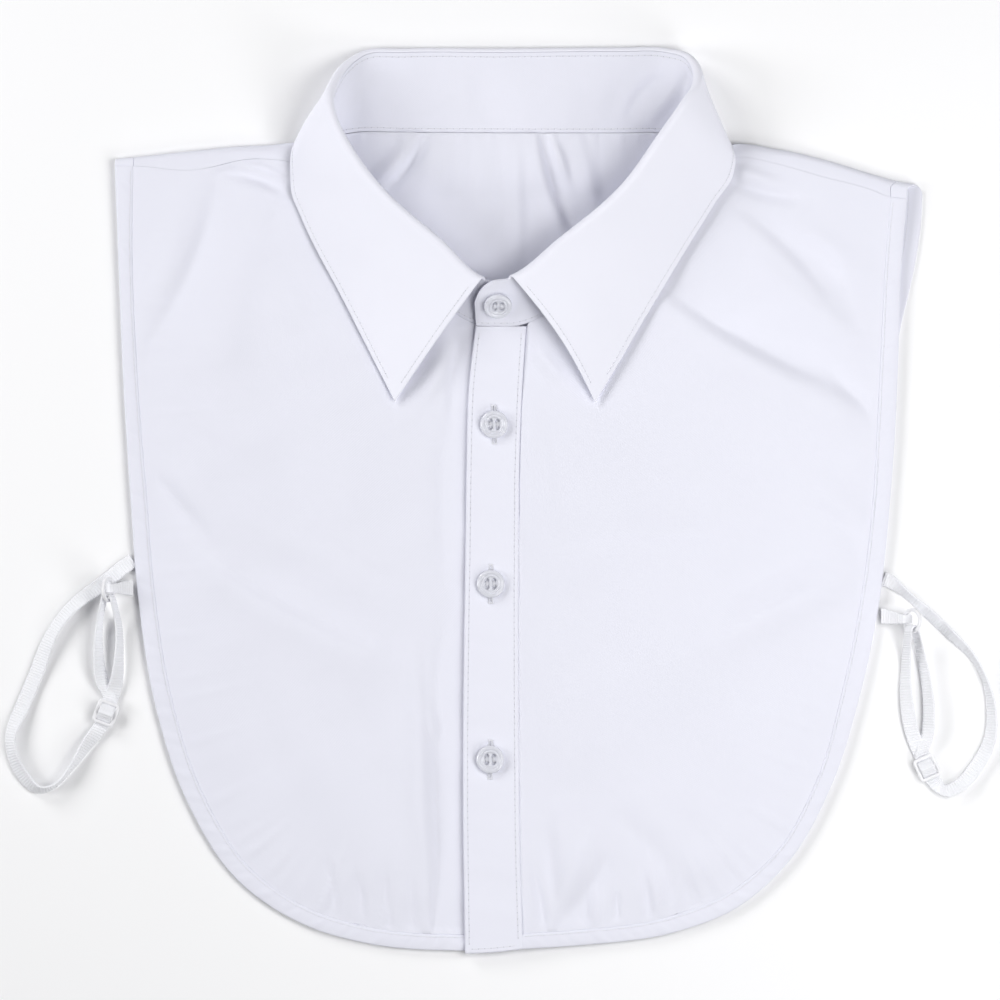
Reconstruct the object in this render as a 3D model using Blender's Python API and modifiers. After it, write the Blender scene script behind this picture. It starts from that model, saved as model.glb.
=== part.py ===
"""Detachable shirt collar, lying on its back on a table with its buttoned front up.

A shirt collar on its stand is sewn to two short fronts and a back panel. A narrow turned band
finishes every free edge, a placket closes the front with clear buttons, and an elastic strap at
each side joins the back to the front through a ring and a slider.

Every table and size below is in millimetres. +X is the viewer's right, +Y runs towards the collar
and +Z is up from the table. The origin lies on the table under the middle of the part.
"""
import math

import bmesh
import bpy
import numpy as np
from mathutils import Matrix, Vector

PART_NAME = "detachable_shirt_collar"
MM = 0.001
# Pieces are this far apart at a seam.
GAP = 0.3

PANEL_WALL = 1.0
BAND_WALL = 1.0
COLLAR_WALL = 1.2
PLACKET_WALL = 1.6
STRAP_WALL = 1.0

# Heights of the walls' middles above the table: the fronts at a seam, how much more they puff
# between seams, their hem, the back, and the back where it lies over the folded leaf.
FRONT_LEVEL = 2.6
FRONT_PUFF = 1.6
HEM_LEVEL = 2.1
BACK_LEVEL = 0.5
BACK_OVER_FALL = 2.3
# Distances from the neck seam, hem and other seams within which a height fades to the next one.
NECK_FADE = 12.0
HEM_FADE = 9.0
PUFF_FADE = 16.0
# The power with which a grid's end rows bend into a seam.
SEAM_FADE = 12
# The part of a front's outer edge that its rows meet; the last row runs along the rest.
HEM_TURN = 0.84

# Where the folded leaf lies under the back: its middle x, half its length, its lowest y, and the
# length over which the back steps up.
FALL_FOOT_MIDDLE = 6.5
FALL_FOOT_HALF = 91.0
FALL_FOOT_LOW = 142.4
FALL_FOOT_RAMP = 14.0

# The collar's sections, from the hidden left end of the stand, round the back, to the tab's end.
# fold is where the leaf folds over, neck is the neck seam, edge is the leaf's outer edge.
# columns: fold x, y, z, neck x, y, z, edge x, y, z, roll radius, crown
COLLAR = (
    (6.7, 92.0, 16.6, 8.4, 73.5, 3.2, None, None, None, 1.7, 0.0),
    (-5.9, 93.0, 18.0, -6.7, 73.1, 3.2, -44.1, 41.2, 5.6, 1.7, 0.6),
    (-25.2, 109.2, 22.0, -36.5, 91.6, 4.6, -62.2, 76.9, 6.0, 1.8, 1.0),
    (-49.1, 129.8, 25.5, -64.3, 117.2, 5.2, -82.7, 117.2, 6.6, 1.8, 1.2),
    (-65.5, 152.5, 26.0, -78.1, 140.3, 5.2, -87.8, 135.0, 7.2, 1.8, 1.5),
    (-69.9, 162.5, 25.0, -78.8, 144.0, 5.0, -87.0, 145.8, 7.2, 1.7, 1.6),
    (-71.2, 169.6, 22.0, -77.4, 147.2, 4.9, -84.2, 150.8, 3.8, 1.6, 1.4),
    (-69.8, 175.6, 17.0, -72.6, 150.6, 4.6, -79.6, 150.2, 1.2, 1.5, 0.6),
    (-65.4, 182.9, 9.5, -66.4, 153.2, 4.0, -72.6, 146.8, 0.9, 1.4, 0.0),
    (-57.0, 188.7, 3.8, -58.4, 154.4, 3.0, -62.2, 144.2, 0.8, 1.3, 0.0),
    (-40.0, 189.6, 2.3, -42.0, 154.2, 2.4, -42.8, 143.6, 0.8, 1.2, 0.0),
    (0.0, 189.6, 2.3, 0.0, 153.9, 2.3, 0.0, 143.4, 0.8, 1.2, 0.0),
    (50.4, 190.0, 2.3, 50.4, 153.9, 2.4, 50.4, 143.8, 0.8, 1.2, 0.0),
    (69.3, 189.8, 3.4, 68.0, 153.9, 3.0, 70.6, 144.4, 0.8, 1.3, 0.0),
    (79.0, 187.2, 8.5, 78.1, 152.5, 4.0, 82.4, 146.8, 0.9, 1.4, 0.0),
    (82.6, 181.5, 14.5, 84.6, 149.2, 4.6, 90.5, 148.8, 1.2, 1.5, 0.6),
    (81.6, 174.5, 20.0, 88.4, 145.0, 4.9, 95.8, 149.8, 3.9, 1.6, 1.4),
    (76.9, 167.5, 24.0, 89.2, 141.2, 5.2, 98.2, 144.6, 7.4, 1.7, 1.6),
    (67.9, 154.8, 26.0, 85.4, 134.0, 5.2, 97.2, 136.0, 7.2, 1.8, 1.5),
    (50.8, 131.2, 25.5, 67.0, 115.8, 5.4, 88.0, 121.5, 6.8, 1.8, 1.2),
    (25.2, 109.6, 22.5, 37.8, 91.1, 5.4, 63.8, 81.4, 6.2, 1.8, 1.0),
    (3.4, 93.6, 20.0, 6.3, 73.1, 5.2, 39.9, 40.7, 5.8, 1.7, 0.6),
    (-3.4, 92.0, 19.2, -2.1, 73.1, 5.2, None, None, None, 0.0, 0.0),
    (-8.2, 88.6, 16.8, -7.6, 73.1, 5.2, None, None, None, 0.0, 0.0),
    (-10.9, 83.4, 12.6, -10.1, 73.4, 5.2, None, None, None, 0.0, 0.0),
)
LEFT_LEAF_ROW = 1
LEFT_NECK_ROW = 4
LEFT_TURN_ROW = 7
RIGHT_TURN_ROW = 15
RIGHT_NECK_ROW = 17
RIGHT_LEAF_ROW = 21
STAND_SEAM_STEP = 1.5
# How far each leaf's front edge bows towards the centre, and how soon that fades.
LEAF_BOW = (0.8, 3.2)
BOW_FADE = 14.0

# The fronts' outer edges, from the shoulder seam down the armhole and round to the placket.
# columns: x, y, width of the turned band
LEFT_EDGE = (
    (-161.7, 140.2, 8.0),
    (-160.4, 105.4, 6.2),
    (-157.8, 42.4, 6.4),
    (-155.1, 0.0, 7.0),
    (-152.0, -40.3, 7.3),
    (-144.5, -86.9, 7.5),
    (-131.0, -127.3, 7.5),
    (-110.9, -158.8, 7.4),
    (-82.7, -178.1, 7.0),
    (-55.9, -186.1, 6.8),
    (-16.0, -189.2, 6.8),
    (8.0, -189.0, 6.8),
)
RIGHT_EDGE = (
    (171.0, 126.4, 7.2),
    (168.6, 100.0, 7.0),
    (167.2, 60.0, 7.6),
    (165.9, 29.4, 7.8),
    (163.8, 0.0, 7.4),
    (158.8, -45.4, 8.0),
    (150.8, -83.2, 7.8),
    (139.4, -119.3, 6.8),
    (120.5, -152.7, 6.8),
    (99.1, -171.4, 7.4),
    (73.5, -181.4, 7.0),
    (33.6, -186.9, 6.6),
    (10.6, -188.4, 6.6),
)
# The back panel's outer edge, from the left shoulder round to the right one. columns: x, y
BACK_EDGE = (
    (-161.0, 141.4),
    (-159.4, 105.4),
    (-156.8, 42.4),
    (-154.1, 0.0),
    (-151.0, -40.0),
    (-143.6, -86.5),
    (-130.2, -126.7),
    (-110.3, -158.0),
    (-82.4, -177.1),
    (-55.8, -185.1),
    (-16.0, -188.2),
    (33.6, -186.0),
    (73.3, -180.4),
    (98.5, -170.5),
    (119.8, -151.9),
    (138.5, -118.9),
    (149.8, -83.0),
    (157.8, -45.3),
    (162.8, 0.0),
    (164.9, 29.4),
    (166.2, 60.0),
    (168.9, 75.5),
    (171.6, 86.5),
    (174.2, 98.7),
    (176.9, 117.6),
    (177.4, 129.0),
)
BACK_BAND = 7.0

# Each shoulder, from the neck to the armhole edge.
# columns: seam x, seam y, fold's top y, x of the back under the seam, front level z
LEFT_SHOULDER = (
    (-78.1, 140.3, 147.2, -75.0, 5.2),
    (-87.4, 141.9, 148.4, -87.0, 5.0),
    (-102.9, 143.2, 148.8, -103.0, 4.8),
    (-129.8, 138.4, 146.5, -130.0, 4.4),
    (-153.7, 140.2, 143.9, -153.5, 3.4),
    (-161.7, 140.2, 143.2, -161.0, 3.0),
)
RIGHT_SHOULDER = (
    (89.2, 141.2, 146.2, 86.0, 5.2),
    (97.0, 143.6, 147.2, 96.5, 5.0),
    (101.0, 143.9, 148.4, 101.0, 4.9),
    (116.3, 141.0, 147.2, 116.8, 4.8),
    (135.2, 135.7, 142.9, 137.0, 4.4),
    (155.4, 130.4, 136.4, 159.5, 3.8),
    (163.8, 127.2, 133.8, 169.8, 3.9),
    (171.0, 126.4, 132.6, 177.0, 3.8),
)

# The largest soft folds in the fronts. columns: start x, y, end x, y, half width, height
FRONT_FOLDS = (
    (-104.0, 126.0, -116.0, 66.0, 11.0, 1.6),
    (-146.0, 44.0, -116.0, -22.0, 10.0, 1.2),
    (-116.0, -34.0, -58.0, -66.0, 10.0, 1.4),
    (-34.0, -112.0, -38.0, -166.0, 9.0, 1.2),
    (104.0, 116.0, 140.0, 82.0, 10.0, 1.3),
    (104.0, 62.0, 152.0, 30.0, 11.0, 1.8),
    (88.0, -58.0, 146.0, -30.0, 10.0, 1.4),
    (24.0, -132.0, 34.0, -172.0, 8.0, 1.2),
    (60.0, -128.0, 86.0, -160.0, 9.0, 1.0),
)

# The placket's long edges. columns: y, left x, right x
PLACKET = (
    (73.1, -10.3, 11.2),
    (48.0, -13.0, 9.6),
    (16.4, -14.0, 8.4),
    (-12.6, -14.4, 8.1),
    (-109.0, -15.5, 8.2),
    (-142.8, -15.4, 8.5),
    (-170.0, -15.0, 9.2),
    (-190.4, -14.7, 9.8),
)
PLACKET_LEVEL = 3.9
PLACKET_BOTTOM_RISE = 2.0
UNDERLAP_X = 8.0
UNDERLAP_LEVEL = 1.9
UNDERLAP_EDGE = -17.0
PLACKET_SIDE_LEVEL = 3.6

BUTTON_RADIUS = 5.9
BUTTON_HEIGHT = 2.2
BUTTON_DISH = 0.7
BUTTON_RIM = 1.3
BUTTON_HOLE_RADIUS = 0.75
BUTTON_HOLE_PITCH = 2.6
STAND_BUTTON = (-0.9, 82.6)
PLACKET_BUTTONS = ((-2.5, 31.7), (-3.9, -35.2), (-4.1, -108.9))

STRAP_WIDTH = 6.2
STRAP_CLEAR = 1.9
STRAP_LIFT = 0.3
TAB_WIDTH = 6.6
PINCHED_WIDTH = 4.4
RING_RADIUS = 4.55
RING_WIRE = 0.75
RING_LEVEL = 9.4
STRAP_TURN = 2.35
TAB_TURN = 2.7
SLIDER_ACROSS = 9.4
SLIDER_BAR = 1.4
SLIDER_SLOT = 3.0
SLIDER_SLOT_ACROSS = 6.9
SLIDER_WALL = 1.0
SLIDER_LEVEL = 3.7
SLIDER_WEAVE = 1.75

# Each side's elastic: the ring, the slider, the loop from the back edge to the slider, and the
# two strands between slider and ring. lean is the ribbon's turn from flat, in degrees.
SIDES = {
    "left": {
        "sign": -1.0,
        "ring": (-164.2, -37.6),
        "ring_lean": 62.0,
        "tab_start_y": -37.0,
        "slider": (-165.4, -89.4),
        "slider_heading": (0.34, 0.94),
        "back_start_y": -25.4,
        # columns: x, y, lean
        "loop": (
            (-156.0, -26.6, 3.0),
            (-161.5, -31.0, 5.0),
            (-169.0, -36.8, 5.0),
            (-179.8, -44.9, 38.0),
            (-188.6, -57.1, 38.0),
            (-194.4, -72.2, 10.0),
            (-200.8, -87.4, 15.0),
            (-205.6, -99.5, 50.0),
            (-204.2, -108.5, 50.0),
            (-199.2, -117.2, 35.0),
            (-193.6, -122.0, 60.0),
            (-187.8, -120.6, 78.0),
            (-179.8, -112.3, 72.0),
            (-173.4, -102.6, 40.0),
        ),
        "outer_strand": ((-167.0, -76.5, 25.0), (-168.6, -64.0, 50.0), (-168.2, -52.0, 62.0)),
        "inner_strand": ((-159.9, -54.0, 118.0), (-159.9, -66.0, 125.0), (-161.0, -76.0, 150.0)),
    },
    "right": {
        "sign": 1.0,
        "ring": (172.8, -50.6),
        "ring_lean": 45.0,
        "tab_start_y": -48.6,
        "slider": (179.3, -112.4),
        "slider_heading": (-0.42, 0.91),
        "back_start_y": -33.0,
        "loop": (
            (162.6, -33.4, 12.0),
            (167.0, -36.4, 48.0),
            (172.4, -41.0, 62.0),
            (180.0, -47.6, 48.0),
            (189.6, -56.8, 52.0),
            (198.6, -66.0, 68.0),
            (203.7, -75.6, 72.0),
            (206.4, -88.0, 50.0),
            (205.6, -101.0, 35.0),
            (199.6, -112.6, 14.0),
            (192.4, -120.4, 30.0),
            (187.0, -122.6, 30.0),
        ),
        "outer_strand": ((179.6, -98.0, 150.0), (179.9, -84.0, 140.0), (177.0, -66.0, 135.0)),
        "inner_strand": ((170.6, -66.0, 45.0), (170.6, -84.0, 30.0), (173.4, -99.0, 14.0)),
    },
}

# columns: base colour, roughness, alpha
FINISHES = {
    "white_cotton": ((0.87, 0.87, 0.92), 0.85, 1.0),
    "white_elastic": ((0.84, 0.84, 0.88), 0.75, 1.0),
    "white_plastic": ((0.88, 0.88, 0.90), 0.35, 1.0),
    "clear_plastic": ((0.85, 0.86, 0.90), 0.15, 0.45),
}


# The strap's first pass through its slider: under it, over its middle bar and under it again.
SLIDER_PITCH = SLIDER_BAR + SLIDER_SLOT
SLOT_FAR_EDGE = SLIDER_SLOT + SLIDER_BAR / 2 + GAP
# columns: along the slider, up from its middle
SLIDER_PASS = (
    (-SLIDER_PITCH - 1.6, -SLIDER_WEAVE), (-SLOT_FAR_EDGE, -SLIDER_WEAVE), (-0.5, SLIDER_WEAVE),
    (0.5, SLIDER_WEAVE), (SLOT_FAR_EDGE, -SLIDER_WEAVE), (SLIDER_PITCH + 1.6, -SLIDER_WEAVE),
)
# The strap's far end, which comes back under the slider and up to its middle bar.
# columns: along the slider, up from its middle
STRAP_END = (
    (SLIDER_PITCH + 2.2, 0.9 - SLIDER_LEVEL), (SLIDER_PITCH - 0.6, 0.9 - SLIDER_LEVEL),
    (1.9, 1.1 - SLIDER_LEVEL), (0.3, -1.45),
)
# The strap narrows where it turns round the ring: rows of full pinch, and rows on which it widens.
PINCH_FLAT_ROWS = 2
PINCH_ROWS = 7

# The tab's two legs, from the hem to the ring. columns: part of the way, width
TAB_LEGS = ((0.0, TAB_WIDTH), (0.35, 6.0), (0.7, 4.8))
TAB_TURN_WIDTH = 3.9
TAB_TURN_ASIDE = 0.65
# Degrees round the ring's wire at which the tab's turn starts and ends.
TAB_TURN_START = -80.0
TAB_TURN_END = -280.0
# The legs' ends, below and above the hem's middle, and how each leg's rise bends.
TAB_BELOW_HEM = 0.45
TAB_ABOVE_HEM = 0.95
TAB_LOW_BEND = 0.8
TAB_HIGH_BEND = 1.3

# Shoulder ends of the back panel and of its band are cut this far back from the fronts' corners.
PANEL_TRIM = 0.9
BAND_TRIM = 1.05
# The top button sits this far above the stand's tab, whose face is bent.
STAND_BUTTON_CLEAR = 0.9
# Degrees round the shoulder's fold at which the back panel has a row.
SHOULDER_ANGLES = (90.0, 40.0, 0.0, -40.0)
# Faces that meet at more than this angle, in degrees, are shaded as an edge.
EDGE_ANGLE = 50.0

# Rows and steps of the grids.
FRONT_NECK_ROWS = 11
FRONT_DOWN_ROWS = 22
PANEL_STEPS = 8
BACK_ROWS = 30
LEAF_ROWS = 41
LEAF_STEPS = 4
STAND_END_ROWS = (4, 6)
STAND_STEPS = 2
PLACKET_ROWS = 24
PLACKET_STEPS = 3
LOOP_ROWS = 34
STRAND_ROWS = 8
WIRE_TURN_ROWS = 7
TAB_TURN_ROWS = 9
RING_SEGMENTS = 24
WIRE_SEGMENTS = 8
BUTTON_SEGMENTS = 20
HOLE_SEGMENTS = 8


def smooth(rows, at, knots):
    """Cubic pieces through the rows, whose slopes are weighted differences of their neighbours."""
    rows = np.asarray(rows, dtype=float)
    slopes = np.gradient(rows, knots, axis=0)
    at = np.atleast_1d(at)
    piece = np.clip(np.searchsorted(knots, at, side="right") - 1, 0, len(knots) - 2)
    step = (knots[piece + 1] - knots[piece])[:, None]
    t = (at[:, None] - knots[piece][:, None]) / step
    return (rows[piece] * (2 * t**3 - 3 * t**2 + 1)
            + slopes[piece] * step * (t**3 - 2 * t**2 + t)
            + rows[piece + 1] * (3 * t**2 - 2 * t**3)
            + slopes[piece + 1] * step * (t**3 - t**2))


def chord_knots(rows, columns):
    """Running chord length through the rows, taken over their first columns."""
    points = np.asarray(rows, dtype=float)[:, :columns]
    return np.concatenate([[0.0], np.cumsum(np.linalg.norm(np.diff(points, axis=0), axis=1))])


def unit(vectors):
    """Each vector at length one."""
    return vectors / np.linalg.norm(vectors, axis=-1, keepdims=True)


def soft_step(value):
    """0 below 0, 1 above 1 and a smooth cubic between."""
    value = np.clip(value, 0.0, 1.0)
    return value * value * (3 - 2 * value)


FOLD_ROWS = [row[0:3] for row in COLLAR]
NECK_ROWS = [row[3:6] for row in COLLAR]
EDGE_ROWS = [row[6:9] for row in COLLAR if row[6] is not None]
ROLL_ROWS = [row[9:11] for row in COLLAR]
COLLAR_KNOTS = chord_knots(FOLD_ROWS, 3)
LEAF_KNOTS = COLLAR_KNOTS[LEFT_LEAF_ROW:RIGHT_LEAF_ROW + 1]


def collar_frame(at):
    """Neck seam, stand top, roll centre, up and outward directions and roll radius of a section."""
    fold = smooth(FOLD_ROWS, at, COLLAR_KNOTS)
    neck = smooth(NECK_ROWS, at, COLLAR_KNOTS)
    roll = np.clip(smooth(ROLL_ROWS, at, COLLAR_KNOTS), 0.0, None)
    near = 0.5
    ahead = smooth(FOLD_ROWS, np.minimum(at + near, COLLAR_KNOTS[-1]), COLLAR_KNOTS)
    behind = smooth(FOLD_ROWS, np.maximum(at - near, 0.0), COLLAR_KNOTS)
    up = unit(fold - neck)
    along = unit(ahead - behind)
    outward = unit(np.cross(up, along))
    centre = fold - up * (roll[:, :1] + COLLAR_WALL / 2)
    top = centre - outward * roll[:, :1]
    return neck, top, centre, up, outward, roll


def stand_surface(at, across):
    """The stand's middle surface, from just above the neck seam to just below the roll."""
    neck, top, _, up, outward, _ = collar_frame(at)
    low = neck + up * STAND_SEAM_STEP
    high = top - up * GAP
    across = across[None, :, None]
    return low[:, None] * (1 - across) + high[:, None] * across


def fall_surface(at, turn_steps, leaf_steps):
    """The leaf's middle surface: half a roll over the stand's top, then straight to its edge.

    In a section the roll is a circle about its centre, left along the tangent that reaches the
    edge. The edge's shift along the collar is spread evenly over the section's length.
    """
    _, _, centre, up, outward, roll = collar_frame(at)
    edge = smooth(EDGE_ROWS, at, LEAF_KNOTS)
    radius = roll[:, 0]
    reach = edge - centre
    rise = np.sum(reach * up, axis=1)
    out = np.sum(reach * outward, axis=1)
    drift = reach - up * rise[:, None] - outward * out[:, None]
    distance = np.hypot(rise, out)
    leave = np.arctan2(rise, out) + np.arccos(np.clip(radius / distance, -1.0, 1.0))
    start = math.pi - 1.5 * GAP / radius
    angle = start[:, None] + (leave - start)[:, None] * np.linspace(0, 1, turn_steps + 1)
    turn_out = radius[:, None] * np.cos(angle)
    turn_rise = radius[:, None] * np.sin(angle)
    part = np.linspace(0, 1, leaf_steps + 1)[1:]
    leaf_out = turn_out[:, -1:] + (out[:, None] - turn_out[:, -1:]) * part
    leaf_rise = turn_rise[:, -1:] + (rise[:, None] - turn_rise[:, -1:]) * part
    crown = roll[:, 1:] * np.sin(math.pi * part)
    away = unit(np.stack([-(leaf_rise[:, -1] - leaf_rise[:, 0]), leaf_out[:, -1] - leaf_out[:, 0]], -1))
    leaf_out = leaf_out + crown * away[:, :1]
    leaf_rise = leaf_rise + crown * away[:, 1:]
    outs = np.concatenate([turn_out, leaf_out], axis=1)
    rises = np.concatenate([turn_rise, leaf_rise], axis=1)
    lengths = np.hypot(np.diff(outs, axis=1), np.diff(rises, axis=1))
    share = np.concatenate([np.zeros((len(at), 1)), np.cumsum(lengths, axis=1)], axis=1)
    share = share / share[:, -1:]
    along = np.cross(outward, up)
    bow = LEAF_BOW[0] * np.exp(-(at - at[0]) / BOW_FADE)
    bow = bow - LEAF_BOW[1] * np.exp((at - at[-1]) / BOW_FADE)
    bow = bow[:, None] * np.sin(math.pi * share)
    return (centre[:, None] + up[:, None] * rises[..., None] + outward[:, None] * outs[..., None]
            + drift[:, None] * share[..., None] + along[:, None] * bow[..., None])


def edge_curve(table, at, sign):
    """Points of an outer edge, directions inwards from it and its band's widths."""
    knots = chord_knots(table, 2)
    rows = smooth(table, at * knots[-1], knots)
    near = smooth(table, np.clip(at * knots[-1] + 0.5, 0, knots[-1]), knots)
    far = smooth(table, np.clip(at * knots[-1] - 0.5, 0, knots[-1]), knots)
    heading = unit(near[:, :2] - far[:, :2])
    inward = sign * np.stack([heading[:, 1], -heading[:, 0]], -1)
    return rows[:, :2], inward, rows[:, 2]


def fold_height(x, y, folds):
    """Sum of soft ridges: a bell across each fold, fading the same way past its ends."""
    height = np.zeros_like(x)
    for x0, y0, x1, y1, width, rise in folds:
        run = np.array([x1 - x0, y1 - y0])
        along = np.clip(((x - x0) * run[0] + (y - y0) * run[1]) / np.dot(run, run), 0, 1)
        away = np.hypot(x - x0 - along * run[0], y - y0 - along * run[1])
        height = height + rise * np.exp(-((away / width) ** 2))
    return height


def back_height(x, y):
    """The back panel's level: flat on the table, stepping up over the leaf that lies under it."""
    aside = np.clip(np.abs(x - FALL_FOOT_MIDDLE) - FALL_FOOT_HALF, 0, None)
    below = np.clip(FALL_FOOT_LOW - 1.5 - y, 0, None)
    step = 1 - soft_step(np.hypot(aside, below) / FALL_FOOT_RAMP)
    return BACK_LEVEL + (BACK_OVER_FALL - BACK_LEVEL) * step


def resample(chain, fractions):
    """Points at fractions of a chain's length."""
    length = chord_knots(chain, 2)
    length = length / length[-1]
    return np.stack([np.interp(fractions, length, chain[:, k]) for k in range(chain.shape[1])], -1)


def placket_side(y, column):
    """x of the placket's left (1) or right (2) edge at a height y."""
    knots = -np.array([row[0] for row in PLACKET])
    return smooth([row[1:] for row in PLACKET], -np.atleast_1d(y), knots)[:, column - 1]


def underlap_level(y):
    """Level of the left front where it lies under the placket, raised towards the stand."""
    below = np.clip(PLACKET[0][0] - y, 0, None)
    return UNDERLAP_LEVEL + (COLLAR[0][5] - UNDERLAP_LEVEL) * np.exp(-below / NECK_FADE)


def shoulder_rows(table, at):
    """Seam, fold top, under side and level along a shoulder, at fractions of its length."""
    knots = chord_knots(table, 2)
    return smooth(table, at * knots[-1], knots)


def seam_share(table):
    """The fraction of a shoulder's length at which its band begins."""
    knots = chord_knots(table, 2)
    return knots[-2] / knots[-1]


def hem_seam(side, at):
    """The front panel's outer line, just inside its hem band, at fractions of the edge's length."""
    table, sign = (LEFT_EDGE, -1.0) if side == "left" else (RIGHT_EDGE, 1.0)
    edge, inward, band = edge_curve(table, at, sign)
    return edge + inward * (band + GAP / 2)[:, None]


def neck_line(side, count):
    """The front's half of the neck seam, from the shoulder to the centre."""
    first, last = (LEFT_NECK_ROW, 0) if side == "left" else (RIGHT_NECK_ROW, RIGHT_LEAF_ROW)
    neck = smooth(NECK_ROWS, np.linspace(COLLAR_KNOTS[first], COLLAR_KNOTS[last], 200), COLLAR_KNOTS)
    if side == "right":
        neck = neck[neck[:, 0] > placket_side(neck[:, 1], 2) + GAP]
    return resample(neck, np.linspace(0, 1, count))


def nearest(plan, line):
    """Distance from every point to a line's closest point, and that point's number."""
    away = np.linalg.norm(plan[..., None, :] - line[:, :2], axis=-1)
    return away.min(axis=-1), away.argmin(axis=-1)


def front_height(side, plan):
    """A front's level: low at its hem, raised at the neck seam, puffed and folded between."""
    hem, _ = nearest(plan, hem_seam(side, np.linspace(0, 1, 240)))
    line = neck_line(side, 120)
    neck, place = nearest(plan, line)
    at_neck = np.exp(-neck / NECK_FADE)
    x, y = plan[..., 0], plan[..., 1]
    if side == "left":
        centre = np.clip(UNDERLAP_EDGE - x, 0, None)
        middle_level = underlap_level(y)
    else:
        aside = x - placket_side(y.ravel(), 2).reshape(y.shape)
        centre = np.hypot(np.clip(aside, 0, None), np.clip(y - PLACKET[0][0], 0, None))
        middle_level = PLACKET_SIDE_LEVEL
    at_centre = np.exp(-centre / NECK_FADE) * (1 - at_neck * (side == "right"))
    at_hem = np.exp(-hem / HEM_FADE) * (1 - at_centre)
    inside = np.minimum(hem, np.minimum(centre, neck))
    height = (FRONT_LEVEL + FRONT_PUFF * (1 - np.exp(-inside / PUFF_FADE))
              + fold_height(x, y, FRONT_FOLDS) * soft_step(inside / PUFF_FADE))
    height = height + (line[place, 2] - FRONT_LEVEL) * at_neck
    height = height * (1 - at_hem) + HEM_LEVEL * at_hem
    return height * (1 - at_centre) + middle_level * at_centre


def front_grid(side, neck_rows, down_rows, across_steps):
    """A front panel's middle surface, in rows from its neckline or centre edge to its hem seam.

    The first row follows the shoulder seam and the last one the hem, and the bend into each fades
    over the rows beside it. The second value is the hem's stations, as fractions of its length.
    """
    shoulder = LEFT_SHOULDER if side == "left" else RIGHT_SHOULDER
    neck = neck_line(side, neck_rows)[:, :2]
    corner = hem_seam(side, np.array([1.0]))[0]
    y = np.linspace(neck[-1, 1], corner[1], down_rows + 1)[1:]
    x = np.full_like(y, UNDERLAP_X) if side == "left" else placket_side(y, 2) + GAP
    inner = np.concatenate([neck, np.stack([x, y], -1)])
    share = chord_knots(inner, 2)
    share = share / share[-1]
    outer = hem_seam(side, share * HEM_TURN)
    part = np.linspace(0, 1, across_steps + 1)
    seam = shoulder_rows(shoulder, part * seam_share(shoulder))
    seam_line = seam[:, :2] - np.array([0.0, GAP / 2])
    last_at = 1 - part * (1 - HEM_TURN)
    last_line = hem_seam(side, last_at)
    first_chord = inner[0] + (outer[0] - inner[0]) * part[:, None]
    last_chord = inner[-1] + (outer[-1] - inner[-1]) * part[:, None]
    plan = (inner[:, None] + (outer - inner)[:, None] * part[:, None]
            + (1 - share[:, None, None]) ** SEAM_FADE * (seam_line - first_chord)
            + share[:, None, None] ** SEAM_FADE * (last_line - last_chord))
    away = unit(plan[:, 1] - plan[:, 0])
    plan[:, 0] += away * GAP / 2
    height = front_height(side, plan)
    seam_part = (1 - share[:, None]) ** SEAM_FADE
    height = height * (1 - seam_part) + seam[:, 4] * seam_part
    stations = np.concatenate([share * HEM_TURN, last_at[::-1][1:]])
    return np.concatenate([plan, height[..., None]], axis=-1), stations


def band_grid(side, at):
    """A front's hem band, from its seam with the panel to the outer edge."""
    table, sign = (LEFT_EDGE, -1.0) if side == "left" else (RIGHT_EDGE, 1.0)
    shoulder = LEFT_SHOULDER if side == "left" else RIGHT_SHOULDER
    edge, inward, band = edge_curve(table, at, sign)
    seam = edge + inward * (band - GAP / 2)[:, None]
    level = front_height(side, hem_seam(side, at))[:, None]
    band = np.stack([np.concatenate([seam, level], 1), np.concatenate([edge, level], 1)], axis=1)
    ends = shoulder_rows(shoulder, np.array([seam_share(shoulder), 1.0]))
    start = np.stack([ends[:, 0], ends[:, 1] - GAP / 2, ends[:, 4]], -1)
    start[0] += unit(start[1] - start[0]) * GAP / 2
    reach = (1 - at[:, None, None]) ** SEAM_FADE
    return band + (start - band[0])[None] * reach


def shoulder_roll(table, at, angle, middle):
    """The shoulder's fold at one angle: a half circle from the front level to the back level."""
    rows = shoulder_rows(table, at)
    turn = (math.pi / 2 - angle) / math.pi
    x = rows[:, 0] + (rows[:, 3] - rows[:, 0]) * turn
    under = back_height(rows[:, 3], rows[:, 2])
    radius = (rows[:, 4] - under) / 2
    y = rows[:, 2] - PANEL_WALL / 2 - radius + radius * math.cos(angle)
    z = under + radius + radius * math.sin(angle)
    points = np.stack([x, y, z], -1)
    return points + (middle - points[0]) * ((1 - at / at[-1]) ** 3)[:, None]


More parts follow.
